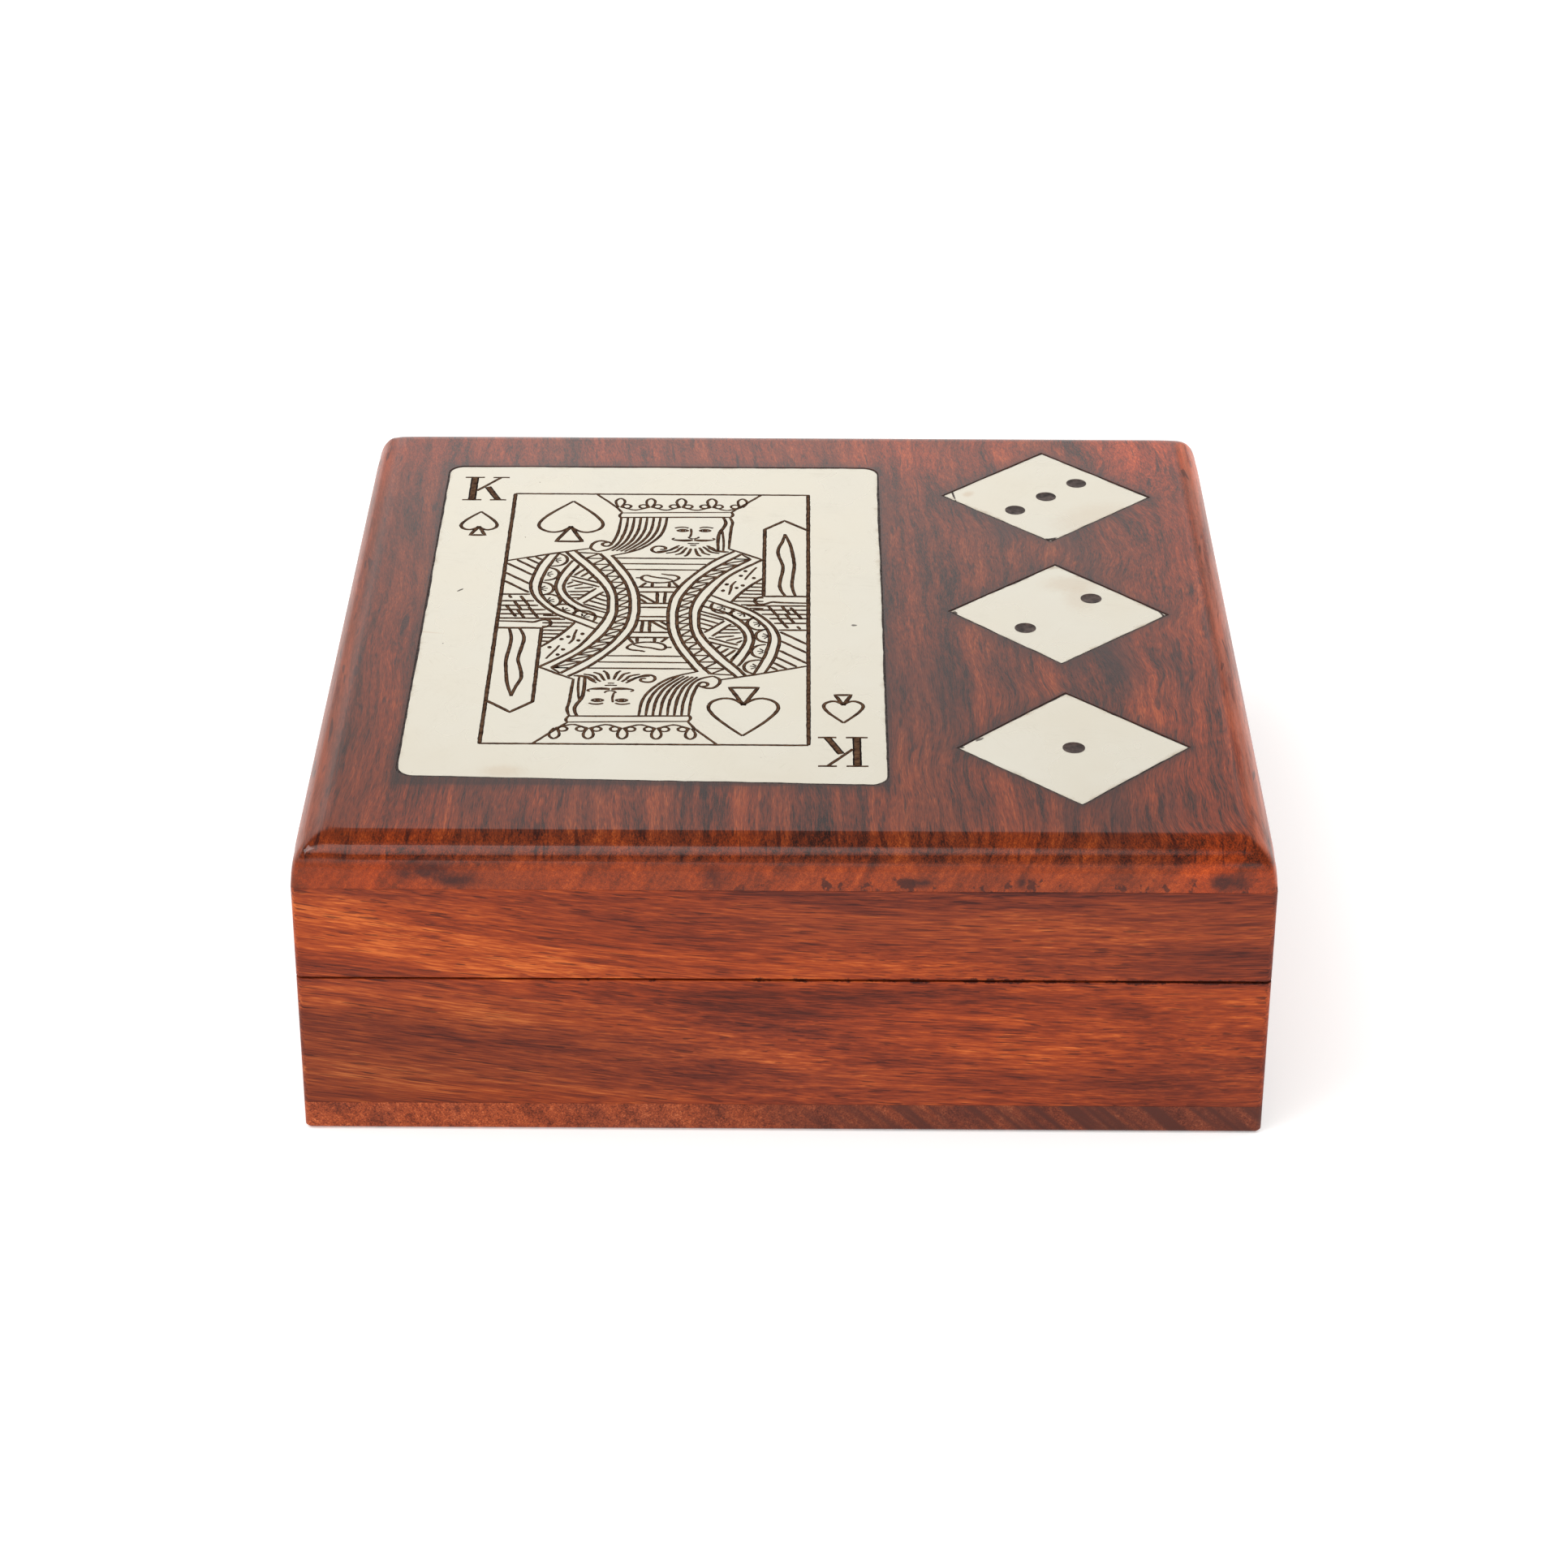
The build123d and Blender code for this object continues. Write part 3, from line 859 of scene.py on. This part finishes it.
# The face, by the rule of thirds: brow, nose and chin divide it evenly below the crown, and
# it is five eyes wide. The beard parts in the middle and curls at one side.
face_x, crown_line, chin_line = 4.6, 28, 18.4
third = (crown_line - chin_line) / 3
brow_line = crown_line - third
nose_line = brow_line - third
eye_line = brow_line - 0.28 * third
mouth_line = nose_line - third / 3
eye_width = 7.4 / 5
fine = 0.3
for side in (-1, 1):
    eye_x = face_x + side * eye_width
    inner, outer = eye_x - side * eye_width / 2, eye_x + side * eye_width / 2
    cut([(inner, brow_line - 0.1), (eye_x, brow_line + 0.5), (outer + side * 0.3, brow_line - 0.1)])
    cut([(inner, eye_line), (eye_x, eye_line + 0.8), (outer, eye_line)], fine, taper=1)
    cut([(inner, eye_line), (eye_x, eye_line - 0.6), (outer, eye_line)], fine * 0.85, taper=1)
    oval((eye_x, eye_line + 0.05), 0.26, 0.3, 0.28)
    nostril = face_x + side * 0.42 * eye_width
    cut([(nostril, nose_line + 0.45), (nostril + side * 0.15, nose_line), (face_x, nose_line - 0.15)], fine)
    tip = face_x + side * 2.6
    for lift in (0, 0.55):
        crest_x = face_x + side * 1.1
        start = (face_x + side * 0.1, nose_line - 0.45 - lift * 0.3)
        cut([start, (crest_x, mouth_line + 0.5 - lift), (tip, mouth_line + 0.55)], 0.32)
    curl_end = (tip - side * 0.1, mouth_line + 1.1)
    cut([(tip, mouth_line + 0.55), (tip + side * 0.4, mouth_line + 0.9), curl_end], fine)
cut([(face_x - 0.4, brow_line - 0.3), (face_x - 0.25, nose_line + 1.1),
     (face_x - 0.5, nose_line + 0.35)], fine)
cut([(face_x - 0.75, mouth_line - 0.45), (face_x, mouth_line - 0.6),
     (face_x + 0.75, mouth_line - 0.45)], fine)
cut([(face_x - 0.4, mouth_line - 1), (face_x, mouth_line - 1.15), (face_x + 0.4, mouth_line - 1)], fine)
for side in (-1, 1):
    for strand in range(4):
        root = face_x + side * (0.3 + 0.5 * strand)
        top = chin_line + 0.1 + 0.3 * strand
        sway = (root + side * (0.1 + 0.25 * strand), top - 0.8)
        tip = (root + side * (0.8 + 0.7 * strand), 16.2 + 0.45 * strand)
        cut([(root, top), sway, (sway[0] + side * 0.3, tip[1] + 0.3), tip])
cut([(2.6, 18.9), (1.2, 17.7), (0, 17.1), (-0.9, 17.8), (-0.7, 18.9), (0.2, 19.3), (1.1, 18.8),
     (0.9, 18.1), (0.3, 18.2)])
cut([(6.6, 18.9), (7.2, 18), (8.2, 17.5), (9.1, 17.5)])

# The robe: shoulders, collar, and two pairs of stripes that bow in towards the middle.
cut([(frame_left, 14.6), (-16, 16), (-12.5, 17.3), (-9, 18.4)], 0.36)
cut([(9.4, 18.4), (11.2, 17.2), (12.8, 15.9), (14, 15.1)], 0.36)
for left, right, level in ((-5.7, 7.8, 15.5), (-4.9, 6.4, 13.85), (-4, 5.4, 12.15)):
    cut([(left, level + 0.1), (0, level), (right, level)], 0.36)
stripe_levels = (15, 13, 11, 9, 7, 5, 3, 0)
left_stripes = [[top, *zip(across, stripe_levels)] for top, across in (
    ((-12, 17.4), (-10.8, -9.5, -8.5, -7.45, -6.6, -6, -5.8, -5.8)),
    ((-10.9, 17.8), (-9.2, -8, -7, -6.1, -5.4, -5, -4.8, -4.7)),
    ((-7.6, 16.9), (-6.5, -5.7, -4.9, -4.1, -3.6, -3.25, -3.05, -3)),
    ((-6, 16.4), (-5.3, -4.45, -3.6, -3, -2.45, -2.1, -1.95, -1.85)),
)]
right_stripes = [
    [(10, 17.7), (7.9, 15.6), (6.4, 13.4), (5.1, 11.2), (3.9, 9), (2.95, 6.7), (2.4, 5),
     (2, 3), (1.85, 0)],
    [(11, 16.9), (9.2, 14.8), (7.8, 13.1), (6.4, 11.1), (5.1, 8.8), (4.2, 6.4), (3.6, 4.7),
     (3.2, 2.8), (3, 0)],
    [(12.2, 15.4), (10.8, 13.8), (9.2, 11.9), (7.9, 10), (6.7, 7.7), (5.75, 5.6), (5.3, 3.9),
     (4.85, 2), (4.7, 0)],
    [(13.7, 15.2), (12, 13.4), (10.4, 11.7), (9, 9.7), (8.1, 7.5), (7.2, 5.2), (6.5, 3.1),
     (6.1, 1.6), (5.8, 0)],
]
for stripe in left_stripes + right_stripes:
    cut(stripe, 0.38, taper=1)


def level_on(stripe, level):
    """The point of a stripe at this level."""
    for (x0, y0), (x1, y1) in zip(stripe, stripe[1:]):
        if y1 <= level <= y0:
            return (x0 + (x1 - x0) * (y0 - level) / (y0 - y1), level)
    return stripe[0] if level > stripe[0][1] else stripe[-1]


tooth_pitch = 1.75
for inner, outer in ((left_stripes[1], left_stripes[2]), (right_stripes[1], right_stripes[2])):
    level = 17.2
    while level > 0:
        score([level_on(inner, level), level_on(outer, level)], 0.28)
        score([level_on(outer, level), level_on(inner, level - tooth_pitch)], 0.28)
        level -= tooth_pitch

# The sleeve on the left: two looping stripes with a row of scalloped half rounds between them.
outer_loop = [(-14.3, 16.6), (-15.3, 13.9), (-15.9, 10.5), (-16.2, 7.6), (-15.7, 4.7), (-14.4, 1.9),
              (-12.4, -0.8), (-10, -2.6), (-7.3, -4.8)]
inner_loop = [(-12.9, 17.1), (-13.9, 13.8), (-14.6, 10.5), (-15, 7.2), (-14.6, 4.5), (-13, 1.6),
              (-11.3, -0.2), (-9.4, -1.4), (-6.9, -3.3)]
outer_lap = [(-11, 14.8), (-11.9, 12.5), (-12.6, 9.9), (-12.95, 7.4), (-12.4, 4.6), (-11.1, 2.1),
             (-9.2, 0), (-7.6, -1), (-6, -1.9)]
inner_lap = [(-10, 13.9), (-11, 11.1), (-11.7, 8.7), (-11.9, 6.9), (-11.3, 4.7), (-10, 2.5),
             (-8.4, 1), (-6, -0.3)]
for stripe in (outer_loop, inner_loop, outer_lap, inner_lap):
    cut(stripe, 0.38)
half_rounds = [(-13.4, 15, -12), (-14.3, 10.8, -4), (-14.8, 6.5, 8), (-13.7, 3, 30),
               (-11.6, 0.2, 48), (-9, -1.6, 52)]
for x, y, heading in half_rounds:
    arc = [math.radians(heading + turn) for turn in range(-90, 91, 30)]
    cut([(x + 1.75 * math.cos(t), y + 1.95 * math.sin(t)) for t in arc])
    for turn in (-42, 0, 42):
        t = math.radians(heading + turn)
        cut([(x + 0.2 * math.cos(t), y + 0.3 * math.sin(t)),
             (x + 0.95 * math.cos(t), y + 1.05 * math.sin(t))], 0.26)

# The lining of the sleeve: two bars crossing a fan of short strokes.
lining = [
    [(-11, 10.2), (-7, 8.1)], [(-10.9, 9.1), (-7.2, 7.1)], [(-7.6, 6.7), (-9.9, 3.3)],
    [(-6.6, 5.7), (-9.1, 2.4)], [(-10.9, 11.4), (-10.1, 13.1)], [(-10.6, 10.4), (-9.3, 12.3)],
    [(-9.7, 10), (-8.7, 11.4)], [(-8.7, 9.3), (-8, 10.4)], [(-11.4, 7.8), (-10.7, 8.6)],
    [(-11.4, 7), (-9.4, 7.9)], [(-10.4, 6.6), (-8, 7)], [(-11.2, 5.7), (-8.3, 5.8)],
    [(-10.9, 4.8), (-9, 4.8)], [(-10.6, 3.9), (-9.6, 3.9)], [(-7, 4.9), (-6.2, 4.4)],
    [(-7.7, 4), (-6, 3)], [(-8.4, 3.2), (-5.9, 1.7)], [(-9, 2.2), (-5.9, 0.5)],
]
for stroke in lining:
    score(stroke)

# The cape at the left edge: slanting strokes above, and a woven patch below them.
cape = [(-19.6, 14, 3.5), (-18.3, 14.9, 2.6), (-17, 15.4, 1.6), (-15.9, 15.8, 0.8),
        (-19.6, 11.2, 3.3), (-19.6, 8.8, 3.4)]
for x, y, reach in cape:
    score([(x, y), (x + reach, y - reach)], 0.36)
for level, right in ((4.9, -16), (3, -15.4), (1.7, -14.8), (0.5, -13.8), (-0.7, -12.7), (-1.9, -11.8)):
    score([(frame_left, level), (right, level)], 0.36)
for x, y, drop in ((-18.7, 4.6, 0.8), (-17.2, 4.4, 3), (-18, 3, 2.6), (-18.9, 1.7, 3.2),
                   (-17.4, 0.5, 2.4), (-16, 1.3, 3)):
    score([(x, y), (x + drop * 0.45, y - drop)], 0.36)

# The sword at the right edge: a grip, a blade with a wavy groove, and strokes behind the hand.
blade_x, blade_foot = 14, 4.6
score([(blade_x, blade_foot), (blade_x, 24.4), (16.6, 27.1), (frame_right, 24)], 0.4)
groove_left = [(16.8, 4.7), (16, 6.6), (16.1, 9.2), (16.6, 13.2), (15.9, 16), (15.7, 18.4),
               (16.4, 20.6), (16.7, 23)]
groove_right = [(18.1, 4.7), (17.6, 6.8), (17.7, 10), (18, 13.6), (17.7, 17), (17.4, 20),
                (16.7, 23)]
cut(groove_left, 0.38)
cut(groove_right, 0.38)
score([(frame_right, blade_foot), (blade_x, blade_foot)], 0.4)
cut([(blade_x, blade_foot), (13.2, 4.3), (12.8, 3.3), (13.2, 2.3), (14.2, 2.3), (15.1, 3.1),
     (16, 2.8), (frame_right, 2.7)], 0.38)
hand_edge = [(13.9, 9.9), (12.5, 8), (11.3, 6), (10.3, 4), (9.9, 3)]
cut(hand_edge, 0.38)
for count in range(8):
    level = 8.3 - count * 1.02
    start = level_on(hand_edge, level)[0] if level > 3.1 else 10.2 + (3.1 - level) * 1.05
    score([(start, level), (blade_x, level - 0.05)])

# The cuff on the right: dots and dashes.
for x, y in ((11.6, 11.9), (11, 10.5), (12.7, 9.9), (9.2, 8), (11.3, 7.7), (10.5, 7), (8.75, 6.2)):
    oval((x, y), 0.12, 0.26, 0.34)
cut([(13, 13), (12.3, 11.5), (11.5, 9.4)], 0.3)
cut([(10.4, 8.9), (9.8, 8), (9.8, 6.5), (9.5, 5)], 0.3)

# The breast: a knotted ribbon over a laced panel.
cut([(0.7, 11), (1.3, 10.7), (2.4, 10.6), (3.1, 10), (2.8, 9.3), (2.1, 8.7), (0.6, 8.3),
     (-0.9, 8.5), (-1.8, 9.2), (-1.9, 10.1), (-1.3, 10.6), (-0.6, 10.2), (0.4, 9.8), (1.4, 9.7),
     (2.2, 9.1)], 0.32)
cut([(-2.6, 9.8), (-1.9, 9.8)], 0.4)
panel = [
    [(-1.2, 8.4), (-2, 7.1)], [(-0.4, 8.3), (-0.4, 7.1)], [(1.8, 8.4), (1.8, 7.1)],
    [(2.3, 8.6), (3, 7.1)], [(-2.2, 7.1), (3, 7.1)], [(-2.1, 5.7), (2.6, 5.7)],
    [(-1.9, 5), (0.2, 2.6)], [(-1.9, 3.8), (-1, 2.6)], [(0.3, 5.7), (0.4, 2.5)],
    [(1.35, 5.7), (1.3, 2.5)], [(-1.8, 2.45), (2, 2.45)], [(-1.7, 1.3), (1.8, 1.3)],
]
for stroke in panel:
    score(stroke, 0.36)


def fill_cuts(curve, name):
    """Turns the cut lines into lacquer-filled lines, flat and a little ragged, for both halves."""
    holder = new_object(name, curve)
    bpy.context.view_layer.update()
    drawn = bpy.data.meshes.new_from_object(holder.evaluated_get(bpy.context.evaluated_depsgraph_get()))
    bpy.data.objects.remove(holder)
    form = bmesh.new()
    form.from_mesh(drawn)
    copied = bmesh.ops.duplicate(form, geom=form.verts[:] + form.edges[:] + form.faces[:])
    turned = picked(copied, bmesh.types.BMVert)
    bmesh.ops.rotate(form, cent=(0, 0, 0), matrix=Matrix.Rotation(math.pi, 3, "Z"), verts=turned)
    for vert in form.verts:
        shake = noise.noise_vector(vert.co * 900) * 0.00003 + noise.noise_vector(vert.co * 2800) * 0.00005
        raised = min(vert.co.z * fill_flatness, fill_height)
        vert.co = Vector((vert.co.x + shake.x, vert.co.y + shake.y, raised)) + figure_centre
    bmesh.ops.recalc_face_normals(form, faces=form.faces)
    form.to_mesh(drawn)
    form.free()
    drawn.shade_smooth()
    return new_object(name, drawn)


def darken_edges(place, shader, colour):
    """Leaves the sloping edges of the filled lines darker than their flat tops, and dull."""
    crest = soft(axes(place)["Z"], plate_top_z + fill_shoulder, plate_top_z + fill_height)
    feed(shader, {"Base Color": mix(crest, srgb(22, 10, 6), colour), "Specular IOR Level": 0.06})


fill_stops = [(0.35, srgb(54, 32, 20)), (0.65, srgb(104, 74, 50))]
engraved_fill = lacquer("engraved_fill", 1500, 0.7, fill_stops, (0.7, 0.45), (0.4, 0.00003), darken_edges)
court_card = fill_cuts(engraving, "court_card_engraving")
court_card.data.materials.append(engraved_fill)
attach(court_card, "lid")

# Dice plates
# Three squares of the same pale metal, set cornerwise and flush, each a little out of true. Brown
# tarnish has spread from their edges.

die_marks = {
    "one": [
        (0.0234, -0.0320, 0.0008, 0.0003, 40, 0.8, nick),
        (0.0212, -0.0341, 0.0004, 0.0003, 0, 0.9, nick),
    ],
    "two": [
        (0.0478, 0.0018, 0.0015, 0.00022, -70, 1.0, nick),
        (0.0459, 0.0043, 0.0006, 0.0003, -45, 0.9, nick),
        (0.0214, 0.0014, 0.0005, 0.0009, 0, 0.9, nick),
        (0.0369, 0.0100, 0.0022, 0.0014, 0, 0.20, stain),
        (0.0376, 0.0058, 0.0012, 0.0020, 0, 0.15, stain),
    ],
    "three": [
        (0.0224, 0.0370, 0.0024, 0.0002, -82, 1.0, nick),
        (0.0244, 0.0372, 0.0006, 0.0004, 60, 0.30, stain),
        (0.0349, 0.0233, 0.0011, 0.0005, 10, 1.0, nick),
        (0.0468, 0.0343, 0.0006, 0.0003, 45, 0.9, nick),
        (0.0405, 0.0300, 0.0036, 0.0020, 40, 0.15, stain),
    ],
}
for die, angle in die_angles.items():
    half = die_side / 2
    name = f"die_{die}_nickel_silver"
    metal = nickel_silver(name, die_centres[die], angle, half, half, 0.7, die_marks[die])
    corners = square_corners(die_centres[die], die_side - 2 * plate_play, angle)
    name = f"die_{die}_sheet"
    plate = outline_slab(name, corners, 0.0, plate_top_z, plate_edge_ease, metal, plate_wander)
    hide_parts(f"die_{die}_plate")
    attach(plate, "lid")

# Pips
# Holes drilled through the dice plates and plugged with dark brown lacquer, which has sunk a
# little in the middle.

pip_radius = 0.00135
pip_row_length = 0.0122
pip_stops = [(0.35, srgb(44, 30, 28)), (0.7, srgb(84, 62, 54))]
pip_fill = lacquer("pip_fill", 1300, 0.65, pip_stops, (0.55, 0.3), (0.5, 0.00006))
for count, (die, angle) in enumerate(die_angles.items(), start=1):
    form = bmesh.new()
    for index in range(count):
        step = (index - (count - 1) / 2) * pip_row_length / max(count - 1, 1)
        centre = die_centres[die] + Matrix.Rotation(math.radians(angle), 4, "Z") @ Vector((step, 0, 0))
        foot = Matrix.Translation((centre.x, centre.y, pocket_floor_z))
        ring = bmesh.ops.create_circle(form, cap_ends=True, radius=pip_radius, segments=40, matrix=foot)
        disc = [face for face in form.faces if all(vert in ring["verts"] for vert in face.verts)]
        raised = bmesh.ops.extrude_face_region(form, geom=disc)
        top_face = picked(raised, bmesh.types.BMFace)
        height = lid_top_z - pocket_floor_z
        bmesh.ops.translate(form, verts=picked(raised, bmesh.types.BMVert), vec=(0, 0, height))
        for inset, sunk in ((0.00015, 0.00001), (0.0004, 0.00002)):
            bmesh.ops.inset_region(form, faces=top_face, thickness=inset, depth=-sunk)
    bmesh.ops.recalc_face_normals(form, faces=form.faces)
    name = f"die_{die}_plugs"
    plugs = new_object(name, form_mesh(form, name, pip_fill))
    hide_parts(f"die_{die}_pips")
    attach(plugs, "lid")

# Hinges
# Two small brass butt hinges let into the back rims. Their leaves are pressed sheet with rolled
# knuckles, the pins are peened over at both ends, and the screws have cut slots.

worn_brass, brass_in, brass_out = new_group(
    "Worn brass", ("Vector", "Age"), ("Color", "Roughness", "Height")
)
dulling = soft(add_noise(brass_in["Vector"], 300, 6, 0.75), 0.3, 0.75)
drawn_lines = add_noise(brass_in["Vector"], (300, 9000, 9000))
bright = ramp(drawn_lines, [(0.3, srgb(188, 146, 78)), (0.7, srgb(226, 190, 118))])
aged = times(dulling, brass_in["Age"])
feed(brass_out, {
    "Color": mix(aged, bright, srgb(128, 92, 48)),
    "Roughness": plus(times(aged, 0.3), 0.28),
    "Height": drawn_lines,
})


def brass(name, age):
    """Drawn brass, dulled by age."""
    material, shader, place = new_material(name)
    surface = add_node("Group", {"Vector": place, "Age": age}, node_tree=worn_brass).outputs
    feed(shader, {
        "Base Color": surface["Color"],
        "Roughness": surface["Roughness"],
        "Normal": relief(surface["Height"], 0.3, 0.00002),
        "Metallic": 1.0,
    })
    return material


hinge_finishes = {
    "base_leaf": brass("hinge_leaf_brass", 0.7),
    "lid_leaf": brass("hinge_leaf_brass_lid", 0.7),
    "pin": brass("hinge_pin_brass", 0.5),
    "base_screws": brass("hinge_screw_brass", 0.9),
    "lid_screws": brass("hinge_screw_brass_lid", 0.9),
}
for side in ("left", "right"):
    for piece, finish in hinge_finishes.items():
        for material_slot in nodes[f"{side}_hinge_{piece}"].material_slots:
            material_slot.material = finish

# Stage
# A plain pale floor, soft light all round and one large soft lamp high at the front left. In the
# lacquer, the pale backdrop shows low down, the dark ceiling above it and a pale card in front.

bpy.context.scene.view_settings.view_transform = "Standard"

floor_half_width = 3.0
floor_drop = 0.0001
floor_material, shader, _ = new_material("pale_floor")
feed(shader, {
    "Base Color": (0.92, 0.93, 0.93, 1),
    "Emission Color": (1.0, 1.0, 1.0, 1),
    "Emission Strength": 0.3,
    "Roughness": 0.9,
    "Specular IOR Level": 0.0,
})
form = bmesh.new()
bmesh.ops.create_grid(form, x_segments=1, y_segments=1, size=floor_half_width)
bmesh.ops.translate(form, verts=form.verts, vec=(0, 0, -floor_drop))
floor = new_object("floor", form_mesh(form, "floor", floor_material))

world = bpy.data.worlds.new("studio")
world.use_nodes = True
direction = add_node("TexCoord", {}, world.node_tree).outputs["Generated"]
east, _, high = axes(direction)
mirrored = ramp(high, [(0.0, 1.05), (0.415, 1.22), (0.5, 0.66), (0.55, 0.26), (0.63, 0.03)])
dark_side = times(soft(east, 0.15, 0.4, 0.0, 0.65), soft(high, 0.14, 0.26))
mirrored = times(
    mirrored,
    soft(east, -0.15, 0.15, 1.0, 0.7),
    soft(east, -0.12, -0.05, 0.82, 1.0),
    minus(1.0, dark_side),
)
bounce_card = {0: direction, 1: (-0.16, -0.38, 0.91)}
beside_card = add_node("VectorMath", bounce_card, operation="DISTANCE").outputs["Value"]
mirrored = plus(mirrored, soft(beside_card, 0.14, 0.34, 1.7, 0.0))
mirror_only = add_node("LightPath", {}, world.node_tree).outputs["Is Glossy Ray"]
feed(world.node_tree.nodes["Background"], {
    "Color": (1.0, 0.99, 0.975, 1),
    "Strength": plus(times(minus(mirrored, 1.0), mirror_only), 1.0),
})
bpy.context.scene.world = world

lamp_data = bpy.data.lights.new("soft_lamp", "AREA")
lamp_data.shape = "RECTANGLE"
lamp_data.size = 0.8
lamp_data.size_y = 0.6
lamp_data.energy = 5.0
lamp = new_object("soft_lamp", lamp_data)
lamp.location = (-0.7, -0.35, 1.2)
lamp.rotation_mode = "QUATERNION"
lamp.rotation_quaternion = (Vector((0, 0, 0.02)) - lamp.location).to_track_quat("-Z", "Y")
lamp.visible_camera = False

# Camera
# It stands in front of the box, a little less than half a metre away from its front, and looks
# 29 degrees down on it through a long lens.

photo_width = 1932
focal_pixels = 5001
camera_place = (0.001, -0.4607, 0.2726)
camera_pitch, camera_yaw, camera_roll = 90 - 29.25, 0.15, 0.22
camera_data = bpy.data.cameras.new("camera")
camera_data.sensor_width = 36.0
camera_data.lens = camera_data.sensor_width * focal_pixels / photo_width
camera = new_object("camera", camera_data)
view = Matrix.Translation(camera_place)
for degrees, axis in ((camera_yaw, "Z"), (camera_pitch, "X"), (camera_roll, "Z")):
    view = view @ Matrix.Rotation(math.radians(degrees), 4, axis)
camera.matrix_world = view
bpy.context.scene.camera = camera
